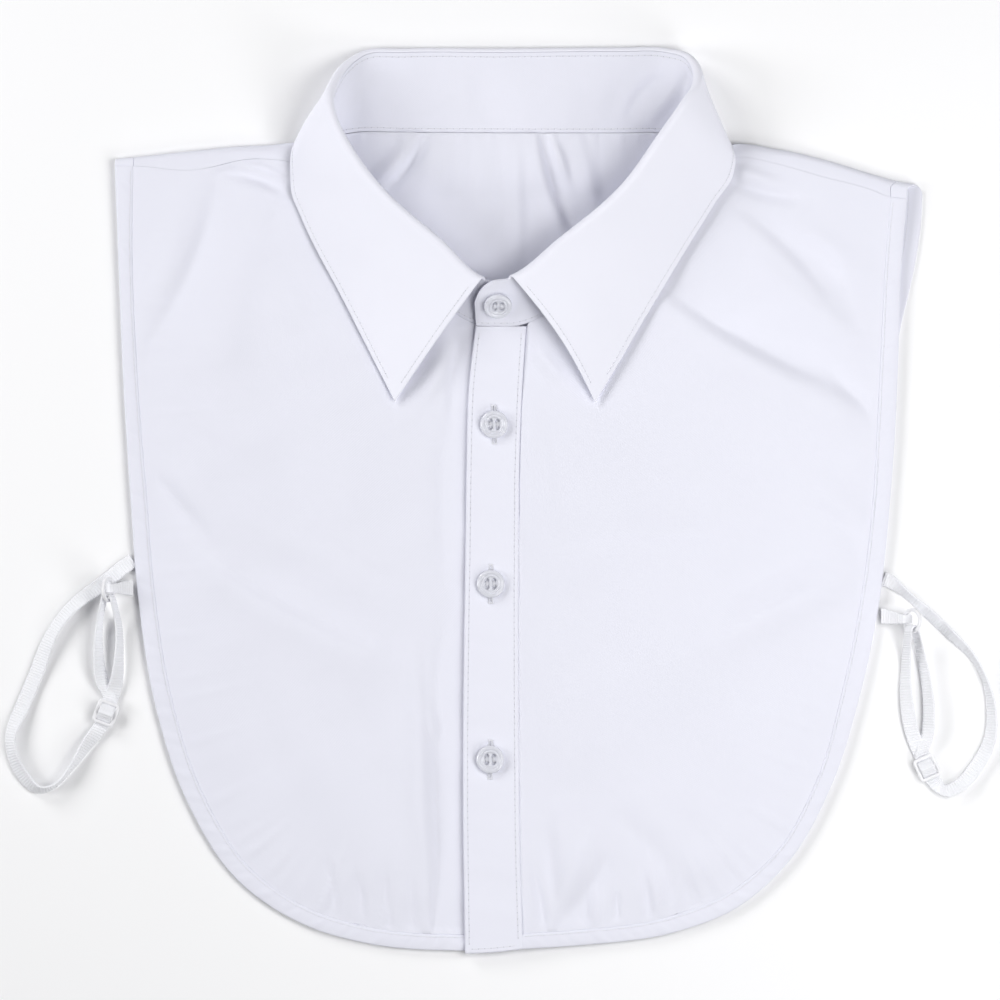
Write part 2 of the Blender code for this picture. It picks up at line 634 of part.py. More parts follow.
def back_rows(fan_rows, across_steps):
    """The back panel and its band, in rows from the neck seam to the outer edge.

    The rows run from the left shoulder seam over the fold, down and round the back, and up over
    the right shoulder to its seam. Each is a list of panel points and a list of band points.
    """
    panel = []
    band = []
    angles = np.radians(SHOULDER_ANGLES)
    spread = np.linspace(0, 1, across_steps + 1)

    def shoulder(table, neck_row, turn_row):
        share = seam_share(table)
        seam = shoulder_rows(table, spread * share)
        start = np.stack([seam[:, 0], seam[:, 1] + GAP / 2, seam[:, 4]], -1)
        ends = shoulder_rows(table, np.array([share, 1.0]))
        rim = np.stack([ends[:, 0], ends[:, 1] + GAP / 2, ends[:, 4]], -1)
        panels = [start]
        bands = [rim]
        for step, angle in enumerate(angles):
            part = (step + 1) / (len(angles) + 1)
            at = COLLAR_KNOTS[neck_row] + (COLLAR_KNOTS[turn_row] - COLLAR_KNOTS[neck_row]) * part
            middle = smooth(NECK_ROWS, at, COLLAR_KNOTS)[0]
            panels.append(shoulder_roll(table, spread * share, angle, middle))
            line = shoulder_roll(table, np.array([0.0, share, 1.0]), angle, middle)
            bands.append(line[1:])
        return panels, bands

    left_panel, left_band = shoulder(LEFT_SHOULDER, LEFT_NECK_ROW, LEFT_TURN_ROW)
    right_panel, right_band = shoulder(RIGHT_SHOULDER, RIGHT_NECK_ROW, RIGHT_TURN_ROW)

    share = np.linspace(0, 1, fan_rows)
    first, last = COLLAR_KNOTS[LEFT_TURN_ROW], COLLAR_KNOTS[RIGHT_TURN_ROW]
    knots = first + share * (last - first)
    neck = smooth(NECK_ROWS, knots, COLLAR_KNOTS)
    table = [row + (BACK_BAND,) for row in BACK_EDGE]
    edge, inward, width = edge_curve(table, share, -1.0)
    seam = edge + inward * width[:, None]
    spread_out = spread ** 1.5
    plan = neck[:, None, :2] + (seam - neck[:, :2])[:, None] * spread_out[:, None]
    height = back_height(plan[..., 0], plan[..., 1])
    reach = np.linalg.norm(seam - neck[:, :2], axis=1)[:, None] * spread_out
    height = height + (neck[:, 2] - height[:, 0])[:, None] * np.exp(-reach / NECK_FADE)
    fan = np.concatenate([plan, height[..., None]], -1)
    rim = np.stack([np.concatenate([seam, back_height(seam[:, 0], seam[:, 1])[:, None]], 1),
                    np.concatenate([edge, back_height(edge[:, 0], edge[:, 1])[:, None]], 1)], 1)
    panel = np.concatenate([left_panel, fan, right_panel[::-1]])
    band = np.concatenate([left_band, rim, right_band[::-1]])
    return panel, band


def trimmed(grid, start, end):
    """The grid with each row shortened by a length at its start and at its end."""
    grid = grid.copy()
    first = unit(grid[:, 1] - grid[:, 0])
    last = unit(grid[:, -2] - grid[:, -1])
    grid[:, 0] += first * start
    grid[:, -1] += last * end
    return grid


def placket_grid(rows, across_steps):
    """The placket's middle surface, following the front's level from the stand to the hem."""
    y = np.linspace(PLACKET[0][0], PLACKET[-1][0], rows)
    left = placket_side(y, 1)
    right = placket_side(y, 2) - GAP / 2
    part = np.linspace(0, 1, across_steps + 1)
    x = left[:, None] + (right - left)[:, None] * part
    neck_level = COLLAR[RIGHT_LEAF_ROW][5]
    level = PLACKET_LEVEL + (neck_level - PLACKET_LEVEL) * np.exp(-(y[0] - y) / NECK_FADE)
    bottom = PLACKET_BOTTOM_RISE * part ** 2
    rise = soft_step((y[0] - y) / (y[0] - y[-1]) * 12 - 11)
    y = y[:, None] + bottom * rise[:, None]
    y[0] -= GAP / 2
    return np.stack([x, y, np.broadcast_to(level[:, None], x.shape)], -1)


def ribbon_grid(path, widths, sizes):
    """A ribbon's middle surface: its path moved half a width to each side."""
    half = unit(widths) * np.asarray(sizes)[:, None] / 2
    return np.stack([path - half, path + half], axis=1)


def leaning(rows, lift):
    """Path and width direction of a ribbon whose lower edge is a lift above the table.

    The ribbon leans from flat by each row's lean.
    """
    rows = np.asarray(rows, dtype=float)
    lean = np.radians(rows[:, 2])
    z = PANEL_WALL / 2 * np.abs(np.cos(lean)) + STRAP_WIDTH / 2 * np.abs(np.sin(lean)) + lift
    heading = np.gradient(rows[:, :2], axis=0)
    aside = unit(np.stack([-heading[:, 1], heading[:, 0]], -1))
    width = np.concatenate([aside * np.cos(lean)[:, None], np.sin(lean)[:, None]], 1)
    return np.concatenate([rows[:, :2], z[:, None]], 1), width


def ring_axes(side):
    """The ring's centre, its direction away from the garment and up, and the turn's direction."""
    place = SIDES[side]
    lean = math.radians(place["ring_lean"])
    sign = place["sign"]
    centre = np.array([*place["ring"], RING_LEVEL])
    outwards = np.array([sign * math.cos(lean), 0.0, math.sin(lean)])
    across = np.array([-sign * math.sin(lean), 0.0, math.cos(lean)])
    return centre, outwards, across


def slider_axes(side):
    """The slider's centre and its heading along the strap."""
    place = SIDES[side]
    centre = np.array([*place["slider"], SLIDER_LEVEL])
    heading = unit(np.array([*place["slider_heading"], 0.0]))
    return centre, heading


def edge_x(table, y):
    """x of an outer edge at a height y on its armhole."""
    rows = np.asarray(table)[:9, :2]
    return float(np.interp(-y, -rows[:, 1], rows[:, 0]))


def strap_path(side):
    """The strap from the back's edge, round its loop, through slider and ring, to the slider."""
    place = SIDES[side]
    sign = place["sign"]
    rows = np.asarray(BACK_EDGE[:10] if sign < 0 else BACK_EDGE[:13:-1])
    start_x = float(np.interp(-place["back_start_y"], -rows[:, 1], rows[:, 0])) + sign * STRAP_CLEAR
    loop = [(start_x, place["back_start_y"], 0.0), *place["loop"]]
    knots = chord_knots(loop, 2)
    loop = smooth(loop, np.linspace(0, knots[-1], LOOP_ROWS), knots)
    path, width = leaning(loop, STRAP_LIFT)

    centre, heading = slider_axes(side)
    aside = np.array([-heading[1], heading[0], 0.0])
    up = np.array([0.0, 0.0, 1.0])
    passing = np.array(SLIDER_PASS)
    through = centre + heading * passing[:, :1] + up * passing[:, 1:]
    ending = np.array(STRAP_END)
    end = centre + heading * ending[:, :1] + up * ending[:, 1:]
    flat = np.tile(aside, (len(through), 1))

    ring, outwards, across = ring_axes(side)
    wire = ring - np.array([0, RING_RADIUS, 0])
    angle = np.radians(np.linspace(0, 180, WIRE_TURN_ROWS))[:, None]
    turn = wire - across * STRAP_TURN * np.cos(angle) + np.array([0, STRAP_TURN, 0]) * np.sin(angle)
    turn_width = np.tile(outwards, (WIRE_TURN_ROWS, 1))

    def strand(rows, before, before_width, after, after_width):
        """A stretch of strap between two known ends, along rows that lean on the table."""
        body, body_width = leaning(rows, 3 * STRAP_LIFT)
        body_width = unit(body_width)
        path_rows = np.concatenate([[before], body, [after]])
        widths = np.concatenate([[before_width], body_width, [after_width]])
        for row in range(1, len(widths)):
            if np.dot(widths[row], widths[row - 1]) < 0:
                widths[row] = -widths[row]
        path_knots = chord_knots(path_rows, 3)
        at = np.linspace(0, path_knots[-1], STRAND_ROWS + 2)[1:-1]
        return smooth(path_rows, at, path_knots), smooth(widths, at, path_knots), widths[-1]

    outer, outer_width, last = strand(place["outer_strand"], through[-1], aside, turn[0], outwards)
    flip = 1.0 if np.dot(last, outwards) > 0 else -1.0
    inner, inner_width, last = strand(place["inner_strand"], turn[-1], outwards * flip, end[0],
                                      aside)
    flip_end = 1.0 if np.dot(last, aside) > 0 else -1.0
    path = np.concatenate([path, through, outer, turn, inner, end])
    width = np.concatenate([width, flat, outer_width, turn_width * flip, inner_width,
                            np.tile(aside * flip_end, (len(end), 1))])
    for row in range(1, len(width)):
        if np.dot(width[row], width[row - 1]) < 0:
            width[row] = -width[row]
    size = np.full(len(path), STRAP_WIDTH)
    ring_row = LOOP_ROWS + len(through) + STRAND_ROWS + WIRE_TURN_ROWS // 2
    rows_away = np.abs(np.arange(len(path)) - ring_row)
    size -= (STRAP_WIDTH - PINCHED_WIDTH) * (1 - soft_step((rows_away - PINCH_FLAT_ROWS) / PINCH_ROWS))
    return ribbon_grid(path, width, size)


def tab_path(side):
    """The folded tab: out from the hem, round the ring's near wire, and back to the hem."""
    place = SIDES[side]
    sign = place["sign"]
    ring, outwards, _ = ring_axes(side)
    wire = ring - outwards * RING_RADIUS
    start_x = edge_x(LEFT_EDGE if sign < 0 else RIGHT_EDGE, place["tab_start_y"]) + sign * STRAP_CLEAR
    angle = np.radians(np.linspace(TAB_TURN_START, TAB_TURN_END, TAB_TURN_ROWS))
    turn_y = ring[1] + TAB_TURN_ASIDE
    turn = np.stack([wire[0] - sign * TAB_TURN * np.cos(angle), np.full(TAB_TURN_ROWS, turn_y),
                     wire[2] + TAB_TURN * np.sin(angle)], -1)
    y0 = place["tab_start_y"]
    low = np.array([start_x, y0, HEM_LEVEL - TAB_BELOW_HEM])
    high = np.array([start_x, y0, HEM_LEVEL + TAB_ABOVE_HEM])
    legs = np.array(TAB_LEGS)
    part = legs[:, :1]
    below = low + (turn[0] - low) * part
    below[:, 2] = low[2] + (turn[0, 2] - low[2]) * part[:, 0] ** TAB_LOW_BEND
    above = high + (turn[-1] - high) * part[::-1]
    above[:, 2] = high[2] + (turn[-1, 2] - high[2]) * part[::-1, 0] ** TAB_HIGH_BEND
    path = np.concatenate([below, turn, above])
    width = np.tile([0.0, 1.0, 0.0], (len(path), 1))
    size = np.concatenate([legs[:, 1], np.full(TAB_TURN_ROWS, TAB_TURN_WIDTH), legs[::-1, 1]])
    return ribbon_grid(path, width, size)


def finish_material(name):
    """A Principled material with the part's colour, roughness and clearness."""
    colour, roughness, alpha = FINISHES[name]
    material = bpy.data.materials.new(name)
    material.use_nodes = True
    shader = material.node_tree.nodes["Principled BSDF"]
    shader.inputs["Base Color"].default_value = (*colour, 1.0)
    shader.inputs["Roughness"].default_value = roughness
    shader.inputs["Metallic"].default_value = 0.0
    shader.inputs["Alpha"].default_value = alpha
    material.diffuse_color = (*colour, alpha)
    return material


def new_object(name, mesh, material, collection):
    """An object for a finished mesh, in the part's collection."""
    mesh.materials.append(material)
    item = bpy.data.objects.new(name, mesh)
    collection.objects.link(item)
    return item


def cloth_piece(name, grid, wall, material, collection, flip=False):
    """A wall of even thickness about a grid of points in millimetres."""
    rows, columns = grid.shape[:2]
    first = (np.arange(rows - 1)[:, None] * columns + np.arange(columns - 1)).ravel()
    faces = np.stack([first, first + columns, first + columns + 1, first + 1], -1)
    if flip:
        faces = faces[:, ::-1]
    mesh = bpy.data.meshes.new(name)
    mesh.from_pydata((grid.reshape(-1, 3) * MM).tolist(), [], faces.tolist())
    mesh.shade_smooth()
    mesh.set_sharp_from_angle(angle=math.radians(EDGE_ANGLE))
    item = new_object(name, mesh, material, collection)
    shell = item.modifiers.new("Wall", "SOLIDIFY")
    shell.thickness = wall * MM
    shell.offset = 0.0
    shell.use_even_offset = True
    return item


def make_button(name, point, normal, material, collection, cutters):
    """A turned disc with a raised rim and a dished middle, and four sewing holes cut through."""
    radius = BUTTON_RADIUS
    dish = BUTTON_HEIGHT - BUTTON_DISH
    profile = ((0.0, dish), (radius - BUTTON_RIM - 0.6, dish), (radius - BUTTON_RIM, BUTTON_HEIGHT),
               (radius - 0.4, BUTTON_HEIGHT), (radius, BUTTON_HEIGHT - 0.5), (radius, 0.5),
               (radius - 0.5, 0.0), (0.0, 0.0))
    mesh = bpy.data.meshes.new(name)
    mesh.from_pydata([(x * MM, 0.0, z * MM) for x, z in profile], [(k, k + 1) for k in range(7)], [])
    item = new_object(name, mesh, material, collection)
    screw = item.modifiers.new("Turn", "SCREW")
    screw.steps = BUTTON_SEGMENTS
    screw.render_steps = BUTTON_SEGMENTS
    screw.use_merge_vertices = True
    screw.merge_threshold = 0.00001
    screw.use_smooth_shade = True
    cutter_mesh = bpy.data.meshes.new(name + "_holes")
    drill = bmesh.new()
    hole = BUTTON_HOLE_RADIUS * MM
    for dx in (-0.5, 0.5):
        for dy in (-0.5, 0.5):
            place = Matrix.Translation((dx * BUTTON_HOLE_PITCH * MM, dy * BUTTON_HOLE_PITCH * MM, MM))
            bmesh.ops.create_cone(drill, cap_ends=True, segments=HOLE_SEGMENTS, radius1=hole,
                                  radius2=hole, depth=8 * MM, matrix=place)
    drill.to_mesh(cutter_mesh)
    drill.free()
    cutter = bpy.data.objects.new(name + "_holes", cutter_mesh)
    cutters.objects.link(cutter)
    cutter.hide_render = True
    cutter.display_type = "WIRE"
    cut = item.modifiers.new("Holes", "BOOLEAN")
    cut.object = cutter
    cut.solver = "EXACT"
    turn = Vector(normal).to_track_quat("Z", "Y")
    for thing in (item, cutter):
        thing.rotation_mode = "QUATERNION"
        thing.rotation_quaternion = turn
        thing.location = Vector(point) * MM
    return item


def make_ring(side, material, collection):
    """A round plastic ring, leaning between the tab and the strap that it joins."""
    centre, outwards, across = ring_axes(side)
    bpy.ops.mesh.primitive_torus_add(major_radius=RING_RADIUS * MM, minor_radius=RING_WIRE * MM,
                                     major_segments=RING_SEGMENTS, minor_segments=WIRE_SEGMENTS)
    item = bpy.context.object
    item.name = "ring_" + side
    item.data.shade_smooth()
    item.data.materials.append(material)
    for holder in list(item.users_collection):
        holder.objects.unlink(item)
    collection.objects.link(item)
    turn = Matrix((outwards, (0.0, 1.0, 0.0), np.cross(outwards, (0.0, 1.0, 0.0)))).transposed()
    item.matrix_world = Matrix.Translation(Vector(centre) * MM) @ turn.to_4x4()
    return item


def make_slider(side, material, collection, cutters):
    """A flat plastic slider: a rounded plate with two slots, which leave three bars."""
    centre, heading = slider_axes(side)
    length = 3 * SLIDER_BAR + 2 * SLIDER_SLOT
    turn = Matrix((heading, (-heading[1], heading[0], 0.0), (0.0, 0.0, 1.0))).transposed().to_4x4()
    place = Matrix.Translation(Vector(centre) * MM) @ turn

    def block(name, size, shift):
        """A box, moved along the slider."""
        mesh = bpy.data.meshes.new(name)
        shape = bmesh.new()
        scale = Matrix.Diagonal((size[0] * MM, size[1] * MM, size[2] * MM, 1.0))
        bmesh.ops.create_cube(shape, size=1.0, matrix=Matrix.Translation((shift * MM, 0, 0)) @ scale)
        shape.to_mesh(mesh)
        shape.free()
        return mesh

    name = "slider_" + side
    item = new_object(name, block(name, (length, SLIDER_ACROSS, SLIDER_WALL), 0.0), material, collection)
    item.matrix_world = place
    soften = item.modifiers.new("Soften", "BEVEL")
    soften.width = 0.3 * MM
    soften.segments = 1
    for sign in (-1.0, 1.0):
        shift = sign * (SLIDER_BAR + SLIDER_SLOT) / 2
        mesh = block(name + "_slot", (SLIDER_SLOT, SLIDER_SLOT_ACROSS, 4 * SLIDER_WALL), shift)
        cutter = bpy.data.objects.new(name + "_slot", mesh)
        cutters.objects.link(cutter)
        cutter.matrix_world = place
        cutter.hide_render = True
        cutter.display_type = "WIRE"
        cut = item.modifiers.new("Slot", "BOOLEAN")
        cut.object = cutter
        cut.solver = "EXACT"
    return item


def centre_on_origin(collection, cutters):
    """Moves everything so that the middle of the whole lies over the origin."""
    bpy.context.view_layer.update()
    shapes = bpy.context.evaluated_depsgraph_get()
    corners = np.array([item.matrix_world @ Vector(corner) for item in collection.objects
                        for corner in item.evaluated_get(shapes).bound_box])
    middle = (corners.min(axis=0) + corners.max(axis=0)) / 2
    for item in [*collection.objects, *cutters.objects]:
        item.location -= Vector((middle[0], middle[1], 0.0))


def build():
    """Makes every piece in the part's collection."""
    for item in list(bpy.data.objects):
        bpy.data.objects.remove(item, do_unlink=True)
    collection = bpy.data.collections.new(PART_NAME)
    cutters = bpy.data.collections.new("cutters")
    bpy.context.scene.collection.children.link(collection)
    bpy.context.scene.collection.children.link(cutters)
    finishes = {name: finish_material(name) for name in FINISHES}
    cotton = finishes["white_cotton"]

    for side, flip in (("left", False), ("right", True)):
        grid, stations = front_grid(side, FRONT_NECK_ROWS, FRONT_DOWN_ROWS, PANEL_STEPS)
        cloth_piece("front_" + side, grid, PANEL_WALL, cotton, collection, flip)
        cloth_piece("front_" + side + "_hem", band_grid(side, stations), BAND_WALL, cotton,
                    collection, flip)

    panel, band = back_rows(BACK_ROWS, PANEL_STEPS)
    cloth_piece("back", trimmed(panel, PANEL_TRIM, GAP / 2), PANEL_WALL, cotton, collection)
    cloth_piece("back_hem", trimmed(band, BAND_TRIM, 0.0), PANEL_WALL, cotton, collection)

    leaf_at = np.interp(np.linspace(0, 1, LEAF_ROWS), np.linspace(0, 1, len(LEAF_KNOTS)), LEAF_KNOTS)
    left_end = np.linspace(COLLAR_KNOTS[0], leaf_at[0], STAND_END_ROWS[0])[:-1]
    right_end = np.linspace(leaf_at[-1], COLLAR_KNOTS[-1], STAND_END_ROWS[1])[1:]
    stand_at = np.concatenate([left_end, leaf_at, right_end])
    stand = stand_surface(stand_at, np.linspace(0, 1, STAND_STEPS + 1))
    cloth_piece("collar_stand", stand, COLLAR_WALL, cotton, collection)
    fall = fall_surface(leaf_at, LEAF_STEPS, LEAF_STEPS)
    cloth_piece("collar_fall", fall, COLLAR_WALL, cotton, collection)

    placket = placket_grid(PLACKET_ROWS, PLACKET_STEPS)
    cloth_piece("placket", placket, PLACKET_WALL, cotton, collection, True)

    at = COLLAR_KNOTS[RIGHT_LEAF_ROW:RIGHT_LEAF_ROW + 2].mean()
    face = stand_surface(np.array([at]), np.array([0.0, 1.0]))[0]
    outward = collar_frame(np.array([at]))[4][0]
    part = (STAND_BUTTON[1] - face[0, 1]) / (face[1, 1] - face[0, 1])
    seat = face[0] + (face[1] - face[0]) * part
    seat = seat + np.array([STAND_BUTTON[0] - seat[0], 0.0, 0.0])
    seats = [(seat + outward * (COLLAR_WALL / 2 + STAND_BUTTON_CLEAR), outward)]
    for x, y in PLACKET_BUTTONS:
        level = PLACKET_LEVEL + PLACKET_WALL / 2 + GAP
        seats.append((np.array([x, y, level]), np.array([0.0, 0.0, 1.0])))
    for number, (point, normal) in enumerate(seats, start=1):
        make_button(f"button_{number}", point, normal, finishes["clear_plastic"], collection, cutters)

    for side in SIDES:
        cloth_piece("strap_" + side, strap_path(side), STRAP_WALL, finishes["white_elastic"], collection)
        cloth_piece("tab_" + side, tab_path(side), STRAP_WALL, finishes["white_elastic"], collection)
        make_ring(side, finishes["white_plastic"], collection)
        make_slider(side, finishes["white_plastic"], collection, cutters)
    centre_on_origin(collection, cutters)


build()
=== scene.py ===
"""The looks of a detachable shirt collar, lying on its back with its buttoned front up.

The sections follow the collar as it is sewn: stand, leaf, back panel, fronts, hem bands, placket,
buttons, then the elastic straps with their rings and sliders. Shapes are worked out in millimetres
on grids of points and put into meshes in metres, in the same frame as the solids.
"""

import math

import bmesh
import bpy
import numpy as np
from mathutils import Matrix, Vector


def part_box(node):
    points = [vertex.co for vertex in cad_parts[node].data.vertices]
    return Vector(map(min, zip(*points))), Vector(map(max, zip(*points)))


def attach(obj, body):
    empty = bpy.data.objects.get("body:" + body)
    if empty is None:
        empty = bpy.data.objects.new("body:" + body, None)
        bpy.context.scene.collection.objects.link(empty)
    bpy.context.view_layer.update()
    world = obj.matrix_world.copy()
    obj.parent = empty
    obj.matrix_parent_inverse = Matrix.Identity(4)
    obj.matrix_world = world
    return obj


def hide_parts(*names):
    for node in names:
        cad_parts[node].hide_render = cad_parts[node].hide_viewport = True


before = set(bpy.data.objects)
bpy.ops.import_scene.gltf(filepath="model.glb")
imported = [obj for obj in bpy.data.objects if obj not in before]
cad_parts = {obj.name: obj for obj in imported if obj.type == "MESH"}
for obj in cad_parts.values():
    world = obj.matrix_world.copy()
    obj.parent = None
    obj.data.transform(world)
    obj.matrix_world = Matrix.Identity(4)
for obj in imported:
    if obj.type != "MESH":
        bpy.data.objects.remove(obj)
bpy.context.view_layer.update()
MM = 0.001


# Collar stand
# The upright band of the collar: two plies of white cotton with a stiff layer between, sewn to the
# neck edge of the bib and closed by a rounded tab with one button. It is pressed flat behind and
# stands up at the front.

GAP = 0.3
# Sewn seams are drawn closed, this far apart.
SEWN = 0.01
COLLAR_WALL = 1.2
STAND_SEAM_STEP = 0.3
NECK_FADE = 12.0
# columns: fold x, y, z, neck x, y, z, edge x, y, z, roll radius, crown
COLLAR = (
    (6.7, 92.0, 16.6, 8.4, 73.5, 3.2, None, None, None, 1.7, 0.0),
    (-5.9, 93.0, 18.0, -6.7, 73.1, 3.2, -44.1, 41.2, 5.6, 1.7, 0.6),
    (-25.2, 109.2, 22.0, -36.5, 91.6, 4.6, -62.2, 76.9, 6.0, 1.8, 1.0),
    (-49.1, 129.8, 25.5, -64.3, 117.2, 5.2, -82.7, 117.2, 6.6, 1.8, 1.2),
    (-65.5, 152.5, 26.0, -78.1, 140.3, 5.2, -87.8, 135.0, 7.2, 1.8, 1.5),
    (-69.9, 162.5, 25.0, -78.8, 144.0, 5.0, -87.0, 145.8, 7.2, 1.7, 1.6),
    (-71.2, 169.6, 22.0, -77.4, 147.2, 4.9, -84.2, 150.8, 3.8, 1.6, 1.4),
    (-69.8, 175.6, 17.0, -72.6, 150.6, 4.6, -79.6, 150.2, 1.2, 1.5, 0.6),
    (-65.4, 182.9, 9.5, -66.4, 153.2, 4.0, -72.6, 146.8, 0.9, 1.4, 0.0),
    (-57.0, 188.7, 3.8, -58.4, 154.4, 3.0, -62.2, 144.2, 0.8, 1.3, 0.0),
    (-40.0, 189.6, 2.3, -42.0, 154.2, 2.4, -42.8, 143.6, 0.8, 1.2, 0.0),
    (0.0, 189.6, 2.3, 0.0, 153.9, 2.3, 0.0, 143.4, 0.8, 1.2, 0.0),
    (50.4, 190.0, 2.3, 50.4, 153.9, 2.4, 50.4, 143.8, 0.8, 1.2, 0.0),
    (69.3, 189.8, 3.4, 68.0, 153.9, 3.0, 70.6, 144.4, 0.8, 1.3, 0.0),
    (79.0, 187.2, 8.5, 78.1, 152.5, 4.0, 82.4, 146.8, 0.9, 1.4, 0.0),
    (82.6, 181.5, 14.5, 84.6, 149.2, 4.6, 90.5, 148.8, 1.2, 1.5, 0.6),
    (81.6, 174.5, 20.0, 88.4, 145.0, 4.9, 95.8, 149.8, 3.9, 1.6, 1.4),
    (76.9, 167.5, 24.0, 89.2, 141.2, 5.2, 98.2, 144.6, 7.4, 1.7, 1.6),
    (67.9, 154.8, 26.0, 85.4, 134.0, 5.2, 97.2, 136.0, 7.2, 1.8, 1.5),
    (50.8, 131.2, 25.5, 67.0, 115.8, 5.4, 88.0, 121.5, 6.8, 1.8, 1.2),
    (25.2, 109.6, 22.5, 37.8, 91.1, 5.4, 63.8, 81.4, 6.2, 1.8, 1.0),
    (3.4, 93.6, 20.0, 6.3, 73.1, 5.2, 39.9, 40.7, 5.8, 1.7, 0.6),
    (-3.4, 92.0, 19.2, -2.1, 73.1, 5.2, None, None, None, 0.0, 0.0),
    (-8.2, 88.6, 16.8, -7.6, 73.1, 5.2, None, None, None, 0.0, 0.0),
    (-10.9, 83.4, 12.6, -10.1, 73.4, 5.2, None, None, None, 0.0, 0.0),
)
LEFT_LEAF_ROW = 1
LEFT_NECK_ROW = 4
LEFT_TURN_ROW = 7
RIGHT_TURN_ROW = 15
RIGHT_NECK_ROW = 17
RIGHT_LEAF_ROW = 21

# Where the tables' second button lies, which shows how far the part's own frame is moved from them.
SECOND_BUTTON = np.array([-2.5, 31.7])
low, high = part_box("button_2")
SHIFT = np.array([*((np.array(low) + np.array(high))[:2] / 2 / MM - SECOND_BUTTON), 0.0])


def unit(vectors):
    """Each vector divided by its length."""
    return vectors / np.maximum(np.linalg.norm(vectors, axis=-1, keepdims=True), 1e-9)


def soft_step(value):
    """0 below 0, 1 above 1, and three squares less two cubes between."""
    value = np.clip(value, 0.0, 1.0)
    return value * value * (3 - 2 * value)


def chord_knots(rows, columns):
    """Running length along the rows' points."""
    points = np.asarray(rows, dtype=float)[:, :columns]
    return np.concatenate([[0.0], np.cumsum(np.linalg.norm(np.diff(points, axis=0), axis=1))])


def smooth(rows, at, knots):
    """Cubic pieces through the rows, with slopes from each row's neighbours, read at given lengths."""
    rows = np.asarray(rows, dtype=float)
    slopes = np.gradient(rows, knots, axis=0)
    at = np.atleast_1d(at)
    piece = np.clip(np.searchsorted(knots, at, side="right") - 1, 0, len(knots) - 2)
    step = (knots[piece + 1] - knots[piece])[:, None]
    t = (at[:, None] - knots[piece][:, None]) / step
    return (rows[piece] * (2 * t**3 - 3 * t**2 + 1)
            + slopes[piece] * step * (t**3 - 2 * t**2 + t)
            + rows[piece + 1] * (3 * t**2 - 2 * t**3)
            + slopes[piece + 1] * step * (t**3 - t**2))


def wander(value, seed, lengths, heights):
    """Uneven waves: sines of the given lengths and heights, with seeded phases, added together."""
    phases = np.random.default_rng(seed).uniform(0, 2 * math.pi, len(lengths))
    return sum(high * np.sin(2 * math.pi * value / long + phase)
               for long, high, phase in zip(lengths, heights, phases))


def creases(x, y, table):
    """Soft ridges and troughs, each along a bowed line.

    Across the line the height falls as a bell, wider on one side than on the other. Along it the
    height rises and falls as half a sine. columns: start x, y, end x, y, bow, width on the left of
    the line's run, width on its right, height.
    """
    total = np.zeros_like(x)
    for x0, y0, x1, y1, bow, left, right, height in table:
        run = np.array([x1 - x0, y1 - y0])
        length = np.hypot(*run)
        run = run / length
        along = ((x - x0) * run[0] + (y - y0) * run[1]) / length
        t = np.clip(along, 0, 1)
        away = (y - y0) * run[0] - (x - x0) * run[1] - bow * 4 * t * (1 - t)
        beyond = (along - t) * length
        width = np.where(away > 0, left, right)
        bell = np.exp(-(away / width) ** 2 - (beyond / (left + right)) ** 2)
        total = total + height * bell * (0.25 + 0.75 * np.sin(math.pi * t) ** 0.8)
    return total


ROUND_EDGE = ((0.13, 0.12, 0.49), (0.5, 0.35, 0.87), (1.0, 0.6, 1.0))
SEWN_EDGE = ((0.04, 0.1, 0.96), (0.35, 0.3, 0.985), (0.9, 0.6, 1.0))


def rimmed(grid, half, seams):
    """The grid with three more lines beside each border, and the wall's share at every point.

    A free border is rounded as a quarter circle. One that is sewn to another piece is closed
    steeply, so the seam stays shallow.
    """
    share = np.ones(grid.shape[:2])
    for border in ("first_row", "last_row", "first_column", "last_column"):
        if border.endswith("column"):
            grid, share = grid.transpose(1, 0, 2), share.T
        if border.startswith("last"):
            grid, share = grid[::-1], share[::-1]
        edge = SEWN_EDGE if border in seams else ROUND_EDGE
        step = grid[1] - grid[0]
        length = np.linalg.norm(step, axis=-1, keepdims=True)
        rim = [grid[0] + step * np.minimum(near * half / np.maximum(length, 1e-6), cap)
               for near, cap, _ in edge]
        grid = np.concatenate([grid[:1], rim, grid[1:]])
        share = np.concatenate([0 * share[:1], [share[0] * part for _, _, part in edge], share[1:]])
        if border.startswith("last"):
            grid, share = grid[::-1], share[::-1]
        if border.endswith("column"):
            grid, share = grid.transpose(1, 0, 2), share.T
    return grid, share


